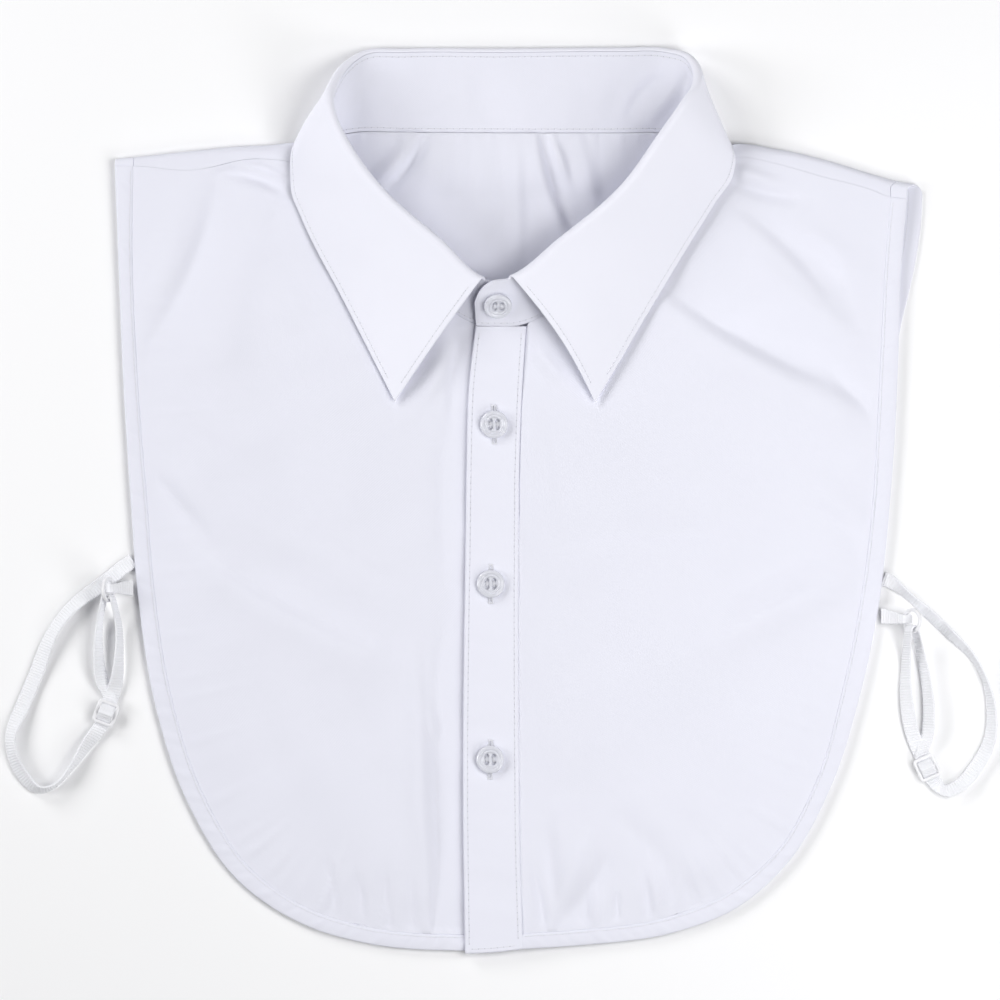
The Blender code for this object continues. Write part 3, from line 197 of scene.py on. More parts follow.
def shell(name, grid, wall, material, node=None, seams=(), ribs=None):
    """A closed cloth shell about a grid of points in millimetres.

    Each point goes half the wall along the surface's normal to both sides. The half wall shrinks
    to nothing at the borders, so the two skins meet there.
    """
    grid, share = rimmed(grid, wall / 2, seams)
    rows, columns = grid.shape[:2]
    normal = unit(np.cross(np.gradient(grid, axis=0), np.gradient(grid, axis=1)))
    half = wall / 2 * share
    if ribs is not None:
        half = half * (1 + ribs(grid))
    top = grid + normal * half[..., None]
    under = grid - normal * half[..., None]
    number = np.arange(rows * columns).reshape(rows, columns)
    inner = np.zeros((rows, columns), bool)
    inner[1:-1, 1:-1] = True
    below = number.copy()
    below[inner] = rows * columns + np.arange(inner.sum())
    points = np.concatenate([top.reshape(-1, 3), under[inner]]) + SHIFT
    quads = [np.stack([n[:-1, :-1], n[1:, :-1], n[1:, 1:], n[:-1, 1:]], -1).reshape(-1, 4)
             for n in (number, below)]
    faces = np.concatenate([quads[0], quads[1][:, ::-1]])
    mesh = bpy.data.meshes.new(name)
    mesh.from_pydata((points * MM).tolist(), [], faces.tolist())
    u = np.cumsum(np.linalg.norm(np.diff(grid, axis=0, prepend=grid[:1]), axis=-1), axis=0)
    v = np.cumsum(np.linalg.norm(np.diff(grid, axis=1, prepend=grid[:, :1]), axis=-1), axis=1)
    flat = np.stack([u.mean(axis=1)[:, None] + 0 * u, v.mean(axis=0)[None] + 0 * v], -1) * MM
    flat = np.concatenate([flat.reshape(-1, 2), flat[inner]])
    loops = np.empty(len(mesh.loops), dtype=np.int32)
    mesh.loops.foreach_get("vertex_index", loops)
    mesh.uv_layers.new(name="cloth").data.foreach_set("uv", flat[loops].ravel())
    mesh.materials.append(material)
    mesh.shade_smooth()
    mesh.set_sharp_from_angle(angle=math.radians(42))
    piece = bpy.data.objects.new(name, mesh)
    bpy.context.scene.collection.objects.link(piece)
    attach(piece, "root")
    if node:
        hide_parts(node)
    return piece


def new_group(name, inputs, outputs):
    """An empty shader node group with named inputs, each a float with a default, and outputs."""
    group = bpy.data.node_groups.new(name, "ShaderNodeTree")
    for label, kind, value in inputs:
        socket = group.interface.new_socket(name=label, in_out="INPUT", socket_type=kind)
        if value is not None:
            socket.default_value = value
    for label, kind in outputs:
        group.interface.new_socket(name=label, in_out="OUTPUT", socket_type=kind)
    return group, group.nodes.new("NodeGroupInput"), group.nodes.new("NodeGroupOutput")


def add_node(tree, kind, links=(), **values):
    """A node with its settings, and links into its named or numbered inputs."""
    node = tree.nodes.new(kind)
    for key, value in values.items():
        setattr(node, key, value)
    for socket, source in links:
        if hasattr(source, "is_output"):
            tree.links.new(source, node.inputs[socket])
        else:
            node.inputs[socket].default_value = source
    return node


def make_weave_group():
    """Plain weave: two sets of yarns, each a sine across itself, that pass over and under."""
    group, entry, leave = new_group("plain_weave", (
        ("Yarn", "NodeSocketFloat", 0.00034), ("Slub", "NodeSocketFloat", 0.4)),
        (("Height", "NodeSocketFloat"), ("Fade", "NodeSocketFloat")))
    uv = add_node(group, "ShaderNodeTexCoord")
    split = add_node(group, "ShaderNodeSeparateXYZ", [(0, uv.outputs["UV"])])
    waves = []
    for axis in (0, 1):
        turn = add_node(group, "ShaderNodeMath", [(0, split.outputs[axis]), (1, entry.outputs["Yarn"])],
                        operation="DIVIDE")
        angle = add_node(group, "ShaderNodeMath", [(0, turn.outputs[0]), (1, math.pi)],
                         operation="MULTIPLY")
        waves.append(add_node(group, "ShaderNodeMath", [(0, angle.outputs[0])], operation="SINE"))
    cross = add_node(group, "ShaderNodeMath", [(0, waves[0].outputs[0]), (1, waves[1].outputs[0])],
                     operation="MULTIPLY")
    slub = add_node(group, "ShaderNodeTexNoise", [("Vector", uv.outputs["UV"]), ("Scale", 700.0),
                                                  ("Detail", 3.0)])
    part = add_node(group, "ShaderNodeMath", [(0, slub.outputs["Fac"]), (1, entry.outputs["Slub"])],
                    operation="MULTIPLY")
    height = add_node(group, "ShaderNodeMath", [(0, cross.outputs[0]), (1, part.outputs[0])],
                      operation="ADD")
    broad = add_node(group, "ShaderNodeTexNoise", [("Vector", uv.outputs["UV"]), ("Scale", 28.0),
                                                   ("Detail", 4.0)])
    group.links.new(height.outputs[0], leave.inputs["Height"])
    group.links.new(broad.outputs["Fac"], leave.inputs["Fade"])
    return group


weave = make_weave_group()


def cloth_material(name, light, shade, roughness, yarn, depth):
    """Woven cloth: broad cloudy variation between two close colours, with the weave as its bump."""
    material = bpy.data.materials.new(name)
    material.use_nodes = True
    tree = material.node_tree
    shader = tree.nodes["Principled BSDF"]
    shader.inputs["Sheen Weight"].default_value = 0.15
    shader.inputs["Sheen Roughness"].default_value = 0.6
    shader.inputs["Specular IOR Level"].default_value = 0.25
    cloth = add_node(tree, "ShaderNodeGroup", node_tree=weave)
    cloth.inputs["Yarn"].default_value = yarn
    mix = add_node(tree, "ShaderNodeMix", [("Factor", cloth.outputs["Fade"])], data_type="RGBA")
    mix.inputs[6].default_value = (*shade, 1.0)
    mix.inputs[7].default_value = (*light, 1.0)
    tree.links.new(mix.outputs[2], shader.inputs["Base Color"])
    rough = add_node(tree, "ShaderNodeMapRange", [("Value", cloth.outputs["Fade"]),
                                                  ("To Min", roughness - 0.06), ("To Max", roughness)])
    tree.links.new(rough.outputs[0], shader.inputs["Roughness"])
    bump = add_node(tree, "ShaderNodeBump", [("Height", cloth.outputs["Height"]), ("Strength", 0.25),
                                             ("Distance", depth)])
    tree.links.new(bump.outputs[0], shader.inputs["Normal"])
    return material


# One ply lets a little light through; the stiffened plies of collar and placket are whiter.
# The stand, though stiffened, keeps the single ply's greyer colour as painted shade for the inside of the neck.
cotton = cloth_material("white_cotton", (0.80, 0.805, 0.89), (0.775, 0.78, 0.865), 0.88, 0.00034, 0.00008)
stiff_cotton = cloth_material("stiffened_cotton", (0.865, 0.868, 0.95), (0.845, 0.848, 0.93), 0.88, 0.00034,
                              0.00006)

FOLD_ROWS = [row[0:3] for row in COLLAR]
NECK_ROWS = [row[3:6] for row in COLLAR]
EDGE_ROWS = [row[6:9] for row in COLLAR if row[6] is not None]
ROLL_ROWS = [row[9:11] for row in COLLAR]
COLLAR_KNOTS = chord_knots(FOLD_ROWS, 3)
LEAF_KNOTS = COLLAR_KNOTS[LEFT_LEAF_ROW:RIGHT_LEAF_ROW + 1]


def collar_frame(at):
    """Neck seam, stand top, roll centre, up and outward directions and roll radius of a section."""
    fold = smooth(FOLD_ROWS, at, COLLAR_KNOTS)
    neck = smooth(NECK_ROWS, at, COLLAR_KNOTS)
    roll = np.clip(smooth(ROLL_ROWS, at, COLLAR_KNOTS), 0.0, None)
    small = 2.0
    ahead = smooth(FOLD_ROWS, np.minimum(at + small, COLLAR_KNOTS[-1]), COLLAR_KNOTS)
    behind = smooth(FOLD_ROWS, np.maximum(at - small, 0.0), COLLAR_KNOTS)
    up = unit(fold - neck)
    along = unit(ahead - behind)
    outward = unit(np.cross(up, along))
    centre = fold - up * (roll[:, :1] + COLLAR_WALL / 2)
    top = centre - outward * roll[:, :1]
    return neck, top, centre, up, outward, roll


# Creases of the stand, on its unrolled surface: along it from its left end, and up from its seam.
# columns as in creases
STAND_CREASES = (
    (150.0, 20.0, 168.0, 30.0, 2.0, 3.0, 4.5, -0.9),
    (172.0, 4.0, 186.0, 16.0, -2.0, 4.0, 6.0, 0.8),
    (198.0, 3.0, 194.0, 32.0, 0.0, 5.0, 7.0, -0.6),
    (214.0, 3.0, 212.0, 30.0, 0.0, 4.0, 6.0, 0.4),
    (234.0, 3.0, 238.0, 30.0, 1.0, 4.0, 6.0, 0.5),
    (252.0, 3.0, 258.0, 28.0, 1.0, 4.0, 6.0, -0.5),
    (258.0, 5.0, 276.0, 25.0, 3.0, 2.6, 5.0, -1.2),
    (268.0, 3.0, 290.0, 24.0, 2.0, 3.5, 3.0, 1.1),
    (284.0, 4.0, 296.0, 30.0, 2.0, 2.4, 4.0, 1.1),
    (280.0, 14.0, 288.0, 30.0, 0.0, 2.2, 3.0, -0.9),
    (296.0, 18.0, 304.0, 34.0, 0.0, 2.4, 3.0, -1.0),
)


def stand_surface(at, across):
    """The stand's middle: straight from the neck seam to the roll, with creases along its normal."""
    neck, top, _, up, outward, _ = collar_frame(at)
    low = neck + up * STAND_SEAM_STEP
    high = top - up * SEWN
    across = across[None, :, None]
    flat = low[:, None] * (1 - across) + high[:, None] * across
    length = np.linalg.norm(high - low, axis=1)[:, None] * across[..., 0]
    along = at[:, None] + 0 * length
    calm = soft_step(across[..., 0] * 4) * soft_step((1 - across[..., 0]) * 4)
    rise = creases(along, length, STAND_CREASES) + wander(along, 3, (31, 19, 12.5), (0.12, 0.08, 0.05))
    return flat - outward[:, None] * (rise * calm)[..., None]


def line_on(grid, border, inset, lift, trim=(0, 0)):
    """Points and normals on a cloth surface, along one border and a fixed way in from it."""
    if border in ("first_row", "last_row"):
        grid = grid.transpose(1, 0, 2)
    if border in ("last_row", "last_column"):
        grid = grid[:, ::-1]
    length = np.cumsum(np.linalg.norm(np.diff(grid, axis=1, prepend=grid[:, :1]), axis=-1), axis=1)
    place = (length < inset).sum(axis=1).clip(1, grid.shape[1] - 1)
    pick = np.arange(len(grid))
    before, after = length[pick, place - 1], length[pick, place]
    part = np.clip((inset - before) / np.maximum(after - before, 1e-6), 0, 1)[:, None]
    normal = unit(np.cross(np.gradient(grid, axis=0), np.gradient(grid, axis=1)))
    normal = normal[pick, place - 1] * (1 - part) + normal[pick, place] * part
    if (border in ("first_row", "last_row")) != (border in ("last_row", "last_column")):
        normal = -normal
    line = grid[pick, place - 1] * (1 - part) + grid[pick, place] * part
    keep = slice(trim[0], len(line) - trim[1])
    return (line + unit(normal) * lift)[keep], unit(normal)[keep]


def tube_mesh(centre, side, lift, radius):
    """Points and faces of closed spindles: rings of five points about each row of centres."""
    around = np.linspace(0, 2 * math.pi, 6)[:-1]
    ring = side[:, :, None] * np.cos(around)[:, None] + lift[:, :, None] * np.sin(around)[:, None]
    points = centre[:, :, None] + ring * radius[..., None, None]
    block = np.arange(points.size // 3).reshape(points.shape[:3])
    turned = np.roll(block, -1, axis=2)
    faces = np.stack([block[:, :-1], turned[:, :-1], turned[:, 1:], block[:, 1:]], -1)
    caps = [block[:, 0, ::-1], block[:, -1]]
    return points.reshape(-1, 3), faces.reshape(-1, 4).tolist() + np.concatenate(caps).tolist()


def stitches(name, lines, pitch=2.65, long=2.15, thick=0.15, hole=None):
    """Rows of lockstitch: short threads, one for each pitch, with a needle hole between them.

    A stitch is a bent spindle: its radius falls towards its ends as a root, and its ends dip into
    the cloth by a fourth power. The shade in a needle hole is painted: a flat spindle of darker cloth colour.
    """
    verts = []
    faces = []
    paints = []
    count = 0
    for line, normal in lines:
        knots = chord_knots(line, 3)
        middle = np.arange(pitch / 2, knots[-1] - pitch / 2, pitch)
        kinds = ((middle, np.linspace(-1, 1, 7), long / 2, thick, 0),
                 (middle + pitch / 2, np.linspace(-1, 1, 5), HOLE_SHADE_LENGTH / 2, HOLE_SHADE_WIDTH / 2, 1))
        for places, part, reach, wide, paint in kinds:
            at = np.clip(places[:, None] + part * reach, 0, knots[-1])
            centre = np.stack([np.interp(at, knots, line[:, k]) for k in range(3)], -1)
            lean = np.stack([np.interp(at, knots, normal[:, k]) for k in range(3)], -1)
            side = unit(np.cross(unit(np.gradient(centre, axis=1)), lean))
            if paint == 0:
                centre = centre + lean * (wide * (0.3 - 1.4 * part**4))[None, :, None]
            else:
                lean = lean * HOLE_SHADE_RISE
            radius = wide * np.sqrt(np.maximum(1 - part**4, 0.02)) + 0 * at
            points, quads = tube_mesh(centre, side, lean, radius)
            verts.append(points)
            faces += [[corner + count for corner in face] for face in quads]
            paints += [paint] * len(quads)
            count += len(points)
    points = (np.concatenate(verts) + SHIFT) * MM
    mesh = bpy.data.meshes.new(name)
    mesh.from_pydata(points.tolist(), [], faces)
    mesh.materials.append(thread)
    # The second material is the painted shade of the needle holes.
    mesh.materials.append(hole or needle_hole_painted_shade)
    mesh.polygons.foreach_set("material_index", paints)
    mesh.shade_smooth()
    drawn = bmesh.new()
    drawn.from_mesh(mesh)
    bmesh.ops.recalc_face_normals(drawn, faces=drawn.faces)
    drawn.to_mesh(mesh)
    drawn.free()
    piece = bpy.data.objects.new(name, mesh)
    bpy.context.scene.collection.objects.link(piece)
    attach(piece, "root")
    return piece


# Size of each needle hole's painted shade, and its small rise off the cloth.
HOLE_SHADE_LENGTH = 0.7
HOLE_SHADE_WIDTH = 0.5
HOLE_SHADE_RISE = 0.16


def thread_material(name, light, shade):
    """Twisted cotton: fine slanting bands of two close colours, raised as bump."""
    material = bpy.data.materials.new(name)
    material.use_nodes = True
    tree = material.node_tree
    shader = tree.nodes["Principled BSDF"]
    shader.inputs["Sheen Weight"].default_value = 0.2
    place = add_node(tree, "ShaderNodeTexCoord")
    twist = add_node(tree, "ShaderNodeTexWave", [("Vector", place.outputs["Object"]), ("Scale", 1400.0),
                                                 ("Distortion", 1.0)], bands_direction="DIAGONAL")
    mix = add_node(tree, "ShaderNodeMix", [("Factor", twist.outputs["Fac"])], data_type="RGBA")
    mix.inputs[6].default_value = (*shade, 1.0)
    mix.inputs[7].default_value = (*light, 1.0)
    tree.links.new(mix.outputs[2], shader.inputs["Base Color"])
    shader.inputs["Roughness"].default_value = 0.7
    bump = add_node(tree, "ShaderNodeBump", [("Height", twist.outputs["Fac"]), ("Strength", 0.3),
                                             ("Distance", 0.00005)])
    tree.links.new(bump.outputs[0], shader.inputs["Normal"])
    return material


thread = thread_material("white_thread", (0.8, 0.805, 0.85), (0.7, 0.705, 0.76))
# Painted shade of the needle holes: a darker cloth colour, fainter along the hems.
needle_hole_painted_shade = thread_material("needle_hole_painted_shade", (0.68, 0.685, 0.75), (0.55, 0.555, 0.63))
faint_hole_painted_shade = thread_material("faint_needle_hole", (0.77, 0.775, 0.855), (0.71, 0.715, 0.79))

leaf_at = np.linspace(LEAF_KNOTS[0], LEAF_KNOTS[-1], 300)
stand_at = np.concatenate([np.linspace(COLLAR_KNOTS[0], leaf_at[0], 12)[:-1], leaf_at,
                           np.linspace(leaf_at[-1], COLLAR_KNOTS[-1], 22)[1:]])
stand_grid = stand_surface(stand_at, np.linspace(0, 1, 26))
# The stand's plain-cotton colour is painted shade: stiffened like the leaf, it is drawn greyer for the shaded inside
# of the neck.
stand = shell("stand_cloth", stand_grid, COLLAR_WALL, cotton, "collar_stand",
              seams=("first_column", "last_column"))
stitches("stand_stitches", [
    line_on(stand_grid, "first_column", 1.6, -COLLAR_WALL / 2),
    line_on(stand_grid, "last_column", 1.8, -COLLAR_WALL / 2, (14, 26)),
    line_on(stand_grid, "first_column", 1.6, COLLAR_WALL / 2),
    line_on(stand_grid, "last_column", 1.8, COLLAR_WALL / 2, (14, 26)),
])


# Collar leaf
# The turned-down part with its two points: two plies and a stiff layer, sewn to the stand's top and
# rolled over it. A row of stitches holds its edges flat.

# How far each leaf's front edge bows towards the centre, and how soon that fades.
LEAF_BOW = (0.8, 3.2)
BOW_FADE = 14.0
LEAF_STITCH_INSET = 2.4
# Soft rolls of the leaf: distance along it from its left point, reach from the roll, and their
# ends. columns as in creases
LEAF_CREASES = (
    (8.0, 10.0, 60.0, 26.0, 4.0, 7.0, 10.0, 0.35),
    (60.0, 8.0, 92.0, 40.0, 0.0, 9.0, 9.0, -0.35),
    (96.0, 6.0, 108.0, 38.0, 2.0, 5.0, 7.0, 0.4),
    (280.0, 8.0, 290.0, 40.0, -2.0, 6.0, 7.0, -0.4),
    (300.0, 12.0, 330.0, 44.0, 3.0, 8.0, 10.0, 0.4),
    (340.0, 8.0, 372.0, 30.0, -4.0, 9.0, 12.0, -0.3),
)


def fall_surface(at, turn_steps, leaf_steps):
    """The leaf's middle surface: half a roll over the stand's top, then straight to its edge.

    In a section the roll is a circle about its centre, left along the tangent that reaches the
    edge. The edge's shift along the collar is spread evenly over the section's length.
    """
    _, _, centre, up, outward, roll = collar_frame(at)
    edge = smooth(EDGE_ROWS, at, LEAF_KNOTS)
    radius = roll[:, 0]
    reach = edge - centre
    rise = np.sum(reach * up, axis=1)
    out = np.sum(reach * outward, axis=1)
    drift = reach - up * rise[:, None] - outward * out[:, None]
    distance = np.hypot(rise, out)
    leave = np.arctan2(rise, out) + np.arccos(np.clip(radius / distance, -1.0, 1.0))
    start = math.pi - SEWN / radius
    angle = start[:, None] + (leave - start)[:, None] * np.linspace(0, 1, turn_steps + 1)
    turn_out = radius[:, None] * np.cos(angle)
    turn_rise = radius[:, None] * np.sin(angle)
    part = np.linspace(0, 1, leaf_steps + 1)[1:]
    leaf_out = turn_out[:, -1:] + (out[:, None] - turn_out[:, -1:]) * part
    leaf_rise = turn_rise[:, -1:] + (rise[:, None] - turn_rise[:, -1:]) * part
    away = unit(np.stack([-(leaf_rise[:, -1] - leaf_rise[:, 0]), leaf_out[:, -1] - leaf_out[:, 0]], -1))
    length = np.hypot(leaf_out - turn_out[:, -1:], leaf_rise - turn_rise[:, -1:])
    along_leaf = at[:, None] - at[0] + 0 * length
    crown = roll[:, 1:] * np.sin(math.pi * part)
    crown = crown + creases(along_leaf, length, LEAF_CREASES) * soft_step(length / 8)
    edge_wave = wander(along_leaf, 11, (43, 27, 16), (0.16, 0.1, 0.05))
    crown = crown + edge_wave * soft_step(part * 1.5) * (roll[:, 1:] > 0.3)
    leaf_out = leaf_out + crown * away[:, :1]
    leaf_rise = leaf_rise + crown * away[:, 1:]
    outs = np.concatenate([turn_out, leaf_out], axis=1)
    rises = np.concatenate([turn_rise, leaf_rise], axis=1)
    lengths = np.hypot(np.diff(outs, axis=1), np.diff(rises, axis=1))
    share = np.concatenate([np.zeros((len(at), 1)), np.cumsum(lengths, axis=1)], axis=1)
    share = share / share[:, -1:]
    along = np.cross(outward, up)
    bow = (LEAF_BOW[0] * np.exp(-(at - at[0]) / BOW_FADE) - LEAF_BOW[1] * np.exp((at - at[-1]) / BOW_FADE))
    bow = bow[:, None] * np.sin(math.pi * share)
    return (centre[:, None] + up[:, None] * rises[..., None] + outward[:, None] * outs[..., None]
            + drift[:, None] * share[..., None] + along[:, None] * bow[..., None])


fall_grid = fall_surface(leaf_at, 12, 42)
fall = shell("leaf_cloth", fall_grid, COLLAR_WALL, stiff_cotton, "collar_fall",
             seams=("first_column",))
stitches("leaf_stitches", [
    line_on(fall_grid, "last_column", LEAF_STITCH_INSET, COLLAR_WALL / 2, (4, 4)),
    line_on(fall_grid, "last_row", LEAF_STITCH_INSET, COLLAR_WALL / 2, (14, 4)),
    line_on(fall_grid, "first_row", LEAF_STITCH_INSET, COLLAR_WALL / 2, (14, 4)),
])


# Back panel
# One layer of the same cotton, cut to the shape of the two fronts together. It lies flat on the
# table and comes up over each shoulder to a seam on the front.

PANEL_WALL = 1.0
BACK_LEVEL = 0.5
BACK_OVER_FALL = 2.3
FALL_FOOT_MIDDLE = 6.5
FALL_FOOT_HALF = 91.0
FALL_FOOT_LOW = 142.4
FALL_FOOT_RAMP = 14.0
BACK_BAND = 7.0
# columns: x, y
BACK_EDGE = (
    (-161.0, 141.4), (-159.4, 105.4), (-156.8, 42.4), (-154.1, 0.0), (-151.0, -40.0),
    (-143.6, -86.5), (-130.2, -126.7), (-110.3, -158.0), (-82.4, -177.1), (-55.8, -185.1),
    (-16.0, -188.2), (33.6, -186.0), (73.3, -180.4), (98.5, -170.5), (119.8, -151.9),
    (138.5, -118.9), (149.8, -83.0), (157.8, -45.3), (162.8, 0.0), (164.9, 29.4), (166.2, 60.0),
    (168.9, 75.5), (171.6, 86.5), (174.2, 98.7), (176.9, 117.6), (177.4, 129.0),
)
# columns: seam x, seam y, fold's top y, x of the back under the seam, front level z
LEFT_SHOULDER = (
    (-78.1, 140.3, 147.2, -75.0, 5.2), (-87.4, 141.9, 148.4, -87.0, 5.0),
    (-102.9, 143.2, 148.8, -103.0, 4.8), (-129.8, 138.4, 146.5, -130.0, 4.4),
    (-153.7, 140.2, 143.9, -153.5, 3.4), (-161.7, 140.2, 143.2, -161.0, 3.0),
)
RIGHT_SHOULDER = (
    (89.2, 141.2, 146.2, 86.0, 5.2), (97.0, 143.6, 147.2, 96.5, 5.0),
    (101.0, 143.9, 148.4, 101.0, 4.9), (116.3, 141.0, 147.2, 116.8, 4.8),
    (135.2, 135.7, 142.9, 137.0, 4.4), (155.4, 130.4, 136.4, 159.5, 3.8),
    (163.8, 127.2, 133.8, 169.8, 3.9), (171.0, 126.4, 132.6, 177.0, 3.8),
)
# Creases that show through the neck opening. columns as in creases
BACK_CREASES = (
    (-34.5, 153.0, -53.0, 131.0, 1.5, 2.0, 5.0, 2.0),
    (-31.0, 153.0, -48.0, 129.0, 1.5, 2.4, 3.0, -1.6),
    (-26.0, 152.0, -34.0, 126.0, 0.0, 5.0, 5.0, 0.9),
    (15.0, 153.5, 28.6, 113.0, -2.5, 2.0, 5.5, 2.0),
    (18.0, 153.0, 31.5, 112.0, -2.5, 3.0, 2.4, -1.4),
    (22.5, 151.0, 28.5, 134.0, 0.0, 1.6, 3.0, 1.4),
    (33.0, 152.0, 40.0, 122.0, 0.0, 3.5, 5.0, 1.0),
    (6.5, 153.0, 7.5, 104.0, 0.5, 2.5, 4.5, 0.9),
    (-8.0, 153.0, -10.0, 116.0, 0.0, 4.0, 4.0, 0.6),
    (-15.0, 153.0, -19.0, 128.0, 0.0, 2.5, 4.0, 0.5),
)


def back_height(x, y):
    """The back panel's level: flat on the table, stepping up over the leaf that lies under it."""
    aside = np.clip(np.abs(x - FALL_FOOT_MIDDLE) - FALL_FOOT_HALF, 0, None)
    below = np.clip(FALL_FOOT_LOW - 1.5 - y, 0, None)
    step = 1 - soft_step(np.hypot(aside, below) / FALL_FOOT_RAMP)
    return BACK_LEVEL + (BACK_OVER_FALL - BACK_LEVEL) * step


def edge_curve(table, at, sign):
    """Points of an outer edge, its inward directions and its band's width, at length fractions."""
    knots = chord_knots(table, 2)
    rows = smooth(table, at * knots[-1], knots)
    near = smooth(table, np.clip(at * knots[-1] + 0.5, 0, knots[-1]), knots)
    far = smooth(table, np.clip(at * knots[-1] - 0.5, 0, knots[-1]), knots)
    heading = unit(near[:, :2] - far[:, :2])
    inward = sign * np.stack([heading[:, 1], -heading[:, 0]], -1)
    return rows[:, :2], inward, rows[:, 2]


def shoulder_rows(table, at):
    """Seam, fold top, under side and level along a shoulder, at fractions of its length."""
    knots = chord_knots(table, 2)
    return smooth(table, at * knots[-1], knots)


def seam_share(table):
    """The fraction of a shoulder's length at which its band begins."""
    knots = chord_knots(table, 2)
    return knots[-2] / knots[-1]


def shoulder_roll(table, at, angle, middle):
    """The shoulder's fold at one angle: a half circle from the front level to the back level."""
    rows = shoulder_rows(table, at)
    turn = (math.pi / 2 - angle) / math.pi
    x = rows[:, 0] + (rows[:, 3] - rows[:, 0]) * turn
    under = back_height(rows[:, 3], rows[:, 2])
    radius = (rows[:, 4] - under) / 2
    y = rows[:, 2] - PANEL_WALL / 2 - radius + radius * math.cos(angle)
    z = under + radius + radius * math.sin(angle)
    points = np.stack([x, y, z], -1)
    return points + (middle - points[0]) * ((1 - at / at[-1]) ** 3)[:, None]


def back_rows(fan_rows, across_steps, angles, band_steps):
    """The back panel and its band, in rows from the neck seam to the outer edge.

    The rows run from the left shoulder seam over the fold, down and round the back, and up over
    the right shoulder to its seam.
    """
    angles = np.radians(angles)
    spread = np.linspace(0, 1, across_steps + 1)
    strip = np.linspace(0, 1, band_steps + 1)

    def shoulder(table, neck_row, turn_row):
        share = seam_share(table)
        across = share + (1 - share) * strip
        seam = shoulder_rows(table, spread * share)
        panels = [np.stack([seam[:, 0], seam[:, 1] + SEWN / 2, seam[:, 4]], -1)]
        ends = shoulder_rows(table, across)
        bands = [np.stack([ends[:, 0], ends[:, 1] + SEWN / 2, ends[:, 4]], -1)]
        for step, angle in enumerate(angles):
            part = (step + 1) / (len(angles) + 1)
            at = COLLAR_KNOTS[neck_row] + (COLLAR_KNOTS[turn_row] - COLLAR_KNOTS[neck_row]) * part
            middle = smooth(NECK_ROWS, at, COLLAR_KNOTS)[0]
            panels.append(shoulder_roll(table, spread * share, angle, middle))
            line = shoulder_roll(table, np.concatenate([[0.0], across]), angle, middle)
            bands.append(line[1:])
        return panels, bands

    left_panel, left_band = shoulder(LEFT_SHOULDER, LEFT_NECK_ROW, LEFT_TURN_ROW)
    right_panel, right_band = shoulder(RIGHT_SHOULDER, RIGHT_NECK_ROW, RIGHT_TURN_ROW)
    share = np.linspace(0, 1, fan_rows)
    knots = COLLAR_KNOTS[LEFT_TURN_ROW] + share * (COLLAR_KNOTS[RIGHT_TURN_ROW] - COLLAR_KNOTS[LEFT_TURN_ROW])
    neck = smooth(NECK_ROWS, knots, COLLAR_KNOTS)
    table = [row + (BACK_BAND,) for row in BACK_EDGE]
    edge, inward, width = edge_curve(table, share, -1.0)
    seam = edge + inward * width[:, None]
    spread_out = spread ** 1.5
    plan = neck[:, None, :2] + (seam - neck[:, :2])[:, None] * spread_out[:, None]
    height = back_height(plan[..., 0], plan[..., 1])
    reach = np.linalg.norm(seam - neck[:, :2], axis=1)[:, None] * spread_out
    height = height + (neck[:, 2] - height[:, 0])[:, None] * np.exp(-reach / NECK_FADE)
    fan = np.concatenate([plan, height[..., None]], -1)
    rim = seam[:, None] + (edge - seam)[:, None] * strip[:, None]
    rim = np.concatenate([rim, back_height(rim[..., 0], rim[..., 1])[..., None]], -1)
    panel = np.concatenate([left_panel, fan, right_panel[::-1]])
    band = np.concatenate([left_band, rim, right_band[::-1]])
    return panel, band


def trimmed(grid, start, end):
    """The grid with each row shortened by a length at its start and at its end."""
    grid = grid.copy()
    first = unit(grid[:, 1] - grid[:, 0])
    last = unit(grid[:, -2] - grid[:, -1])
    grid[:, 0] += first * start
    grid[:, -1] += last * end
    return grid


SHOULDER_ANGLES = (90, 72, 54, 36, 18, 0, -18, -36, -54, -72)
back_grid, back_band = back_rows(220, 90, SHOULDER_ANGLES, 8)
x, y = back_grid[..., 0], back_grid[..., 1]
inside = soft_step((y - 60.0) / 40.0)
calm = soft_step((back_grid[..., 2] - 0.2) / 0.6) * inside * soft_step((156.0 - y) / 3.0)
lift = 1.5 * creases(x, y, BACK_CREASES)
gathers = wander(x, 5, (9.0, 6.1, 13.7), (0.2, 0.14, 0.18)) * np.exp(-np.clip(153.0 - y, 0, None) / 5.0)
inner = (np.abs(x - 5) < 70) & (y < 155)
back_grid[..., 2] += np.where(inner, np.maximum(lift + gathers * inside, 0.0) + 0.9 * calm
                              + np.minimum(lift, 0.0) * 0.6 * calm, 0.0) * soft_step((75 - np.abs(x - 5)) / 20)
back = shell("back_cloth", trimmed(back_grid, SEWN, 0.0), PANEL_WALL, cotton, "back",
             seams=("first_row", "last_row", "first_column", "last_column"))


# Fronts
# Two pieces of the same cotton. They lie on the back, a little puffed, and are sewn to the stand at
# the neck and to the back at the shoulders. The folds are those left from wearing and packing.

FRONT_LEVEL = 2.6
FRONT_PUFF = 1.6
HEM_LEVEL = 2.1
HEM_FADE = 9.0
PUFF_FADE = 16.0
SEAM_FADE = 12
HEM_TURN = 0.84
PLACKET_SIDE_LEVEL = 3.95
UNDERLAP_X = 8.0
UNDERLAP_LEVEL = 1.9
UNDERLAP_EDGE = -17.0
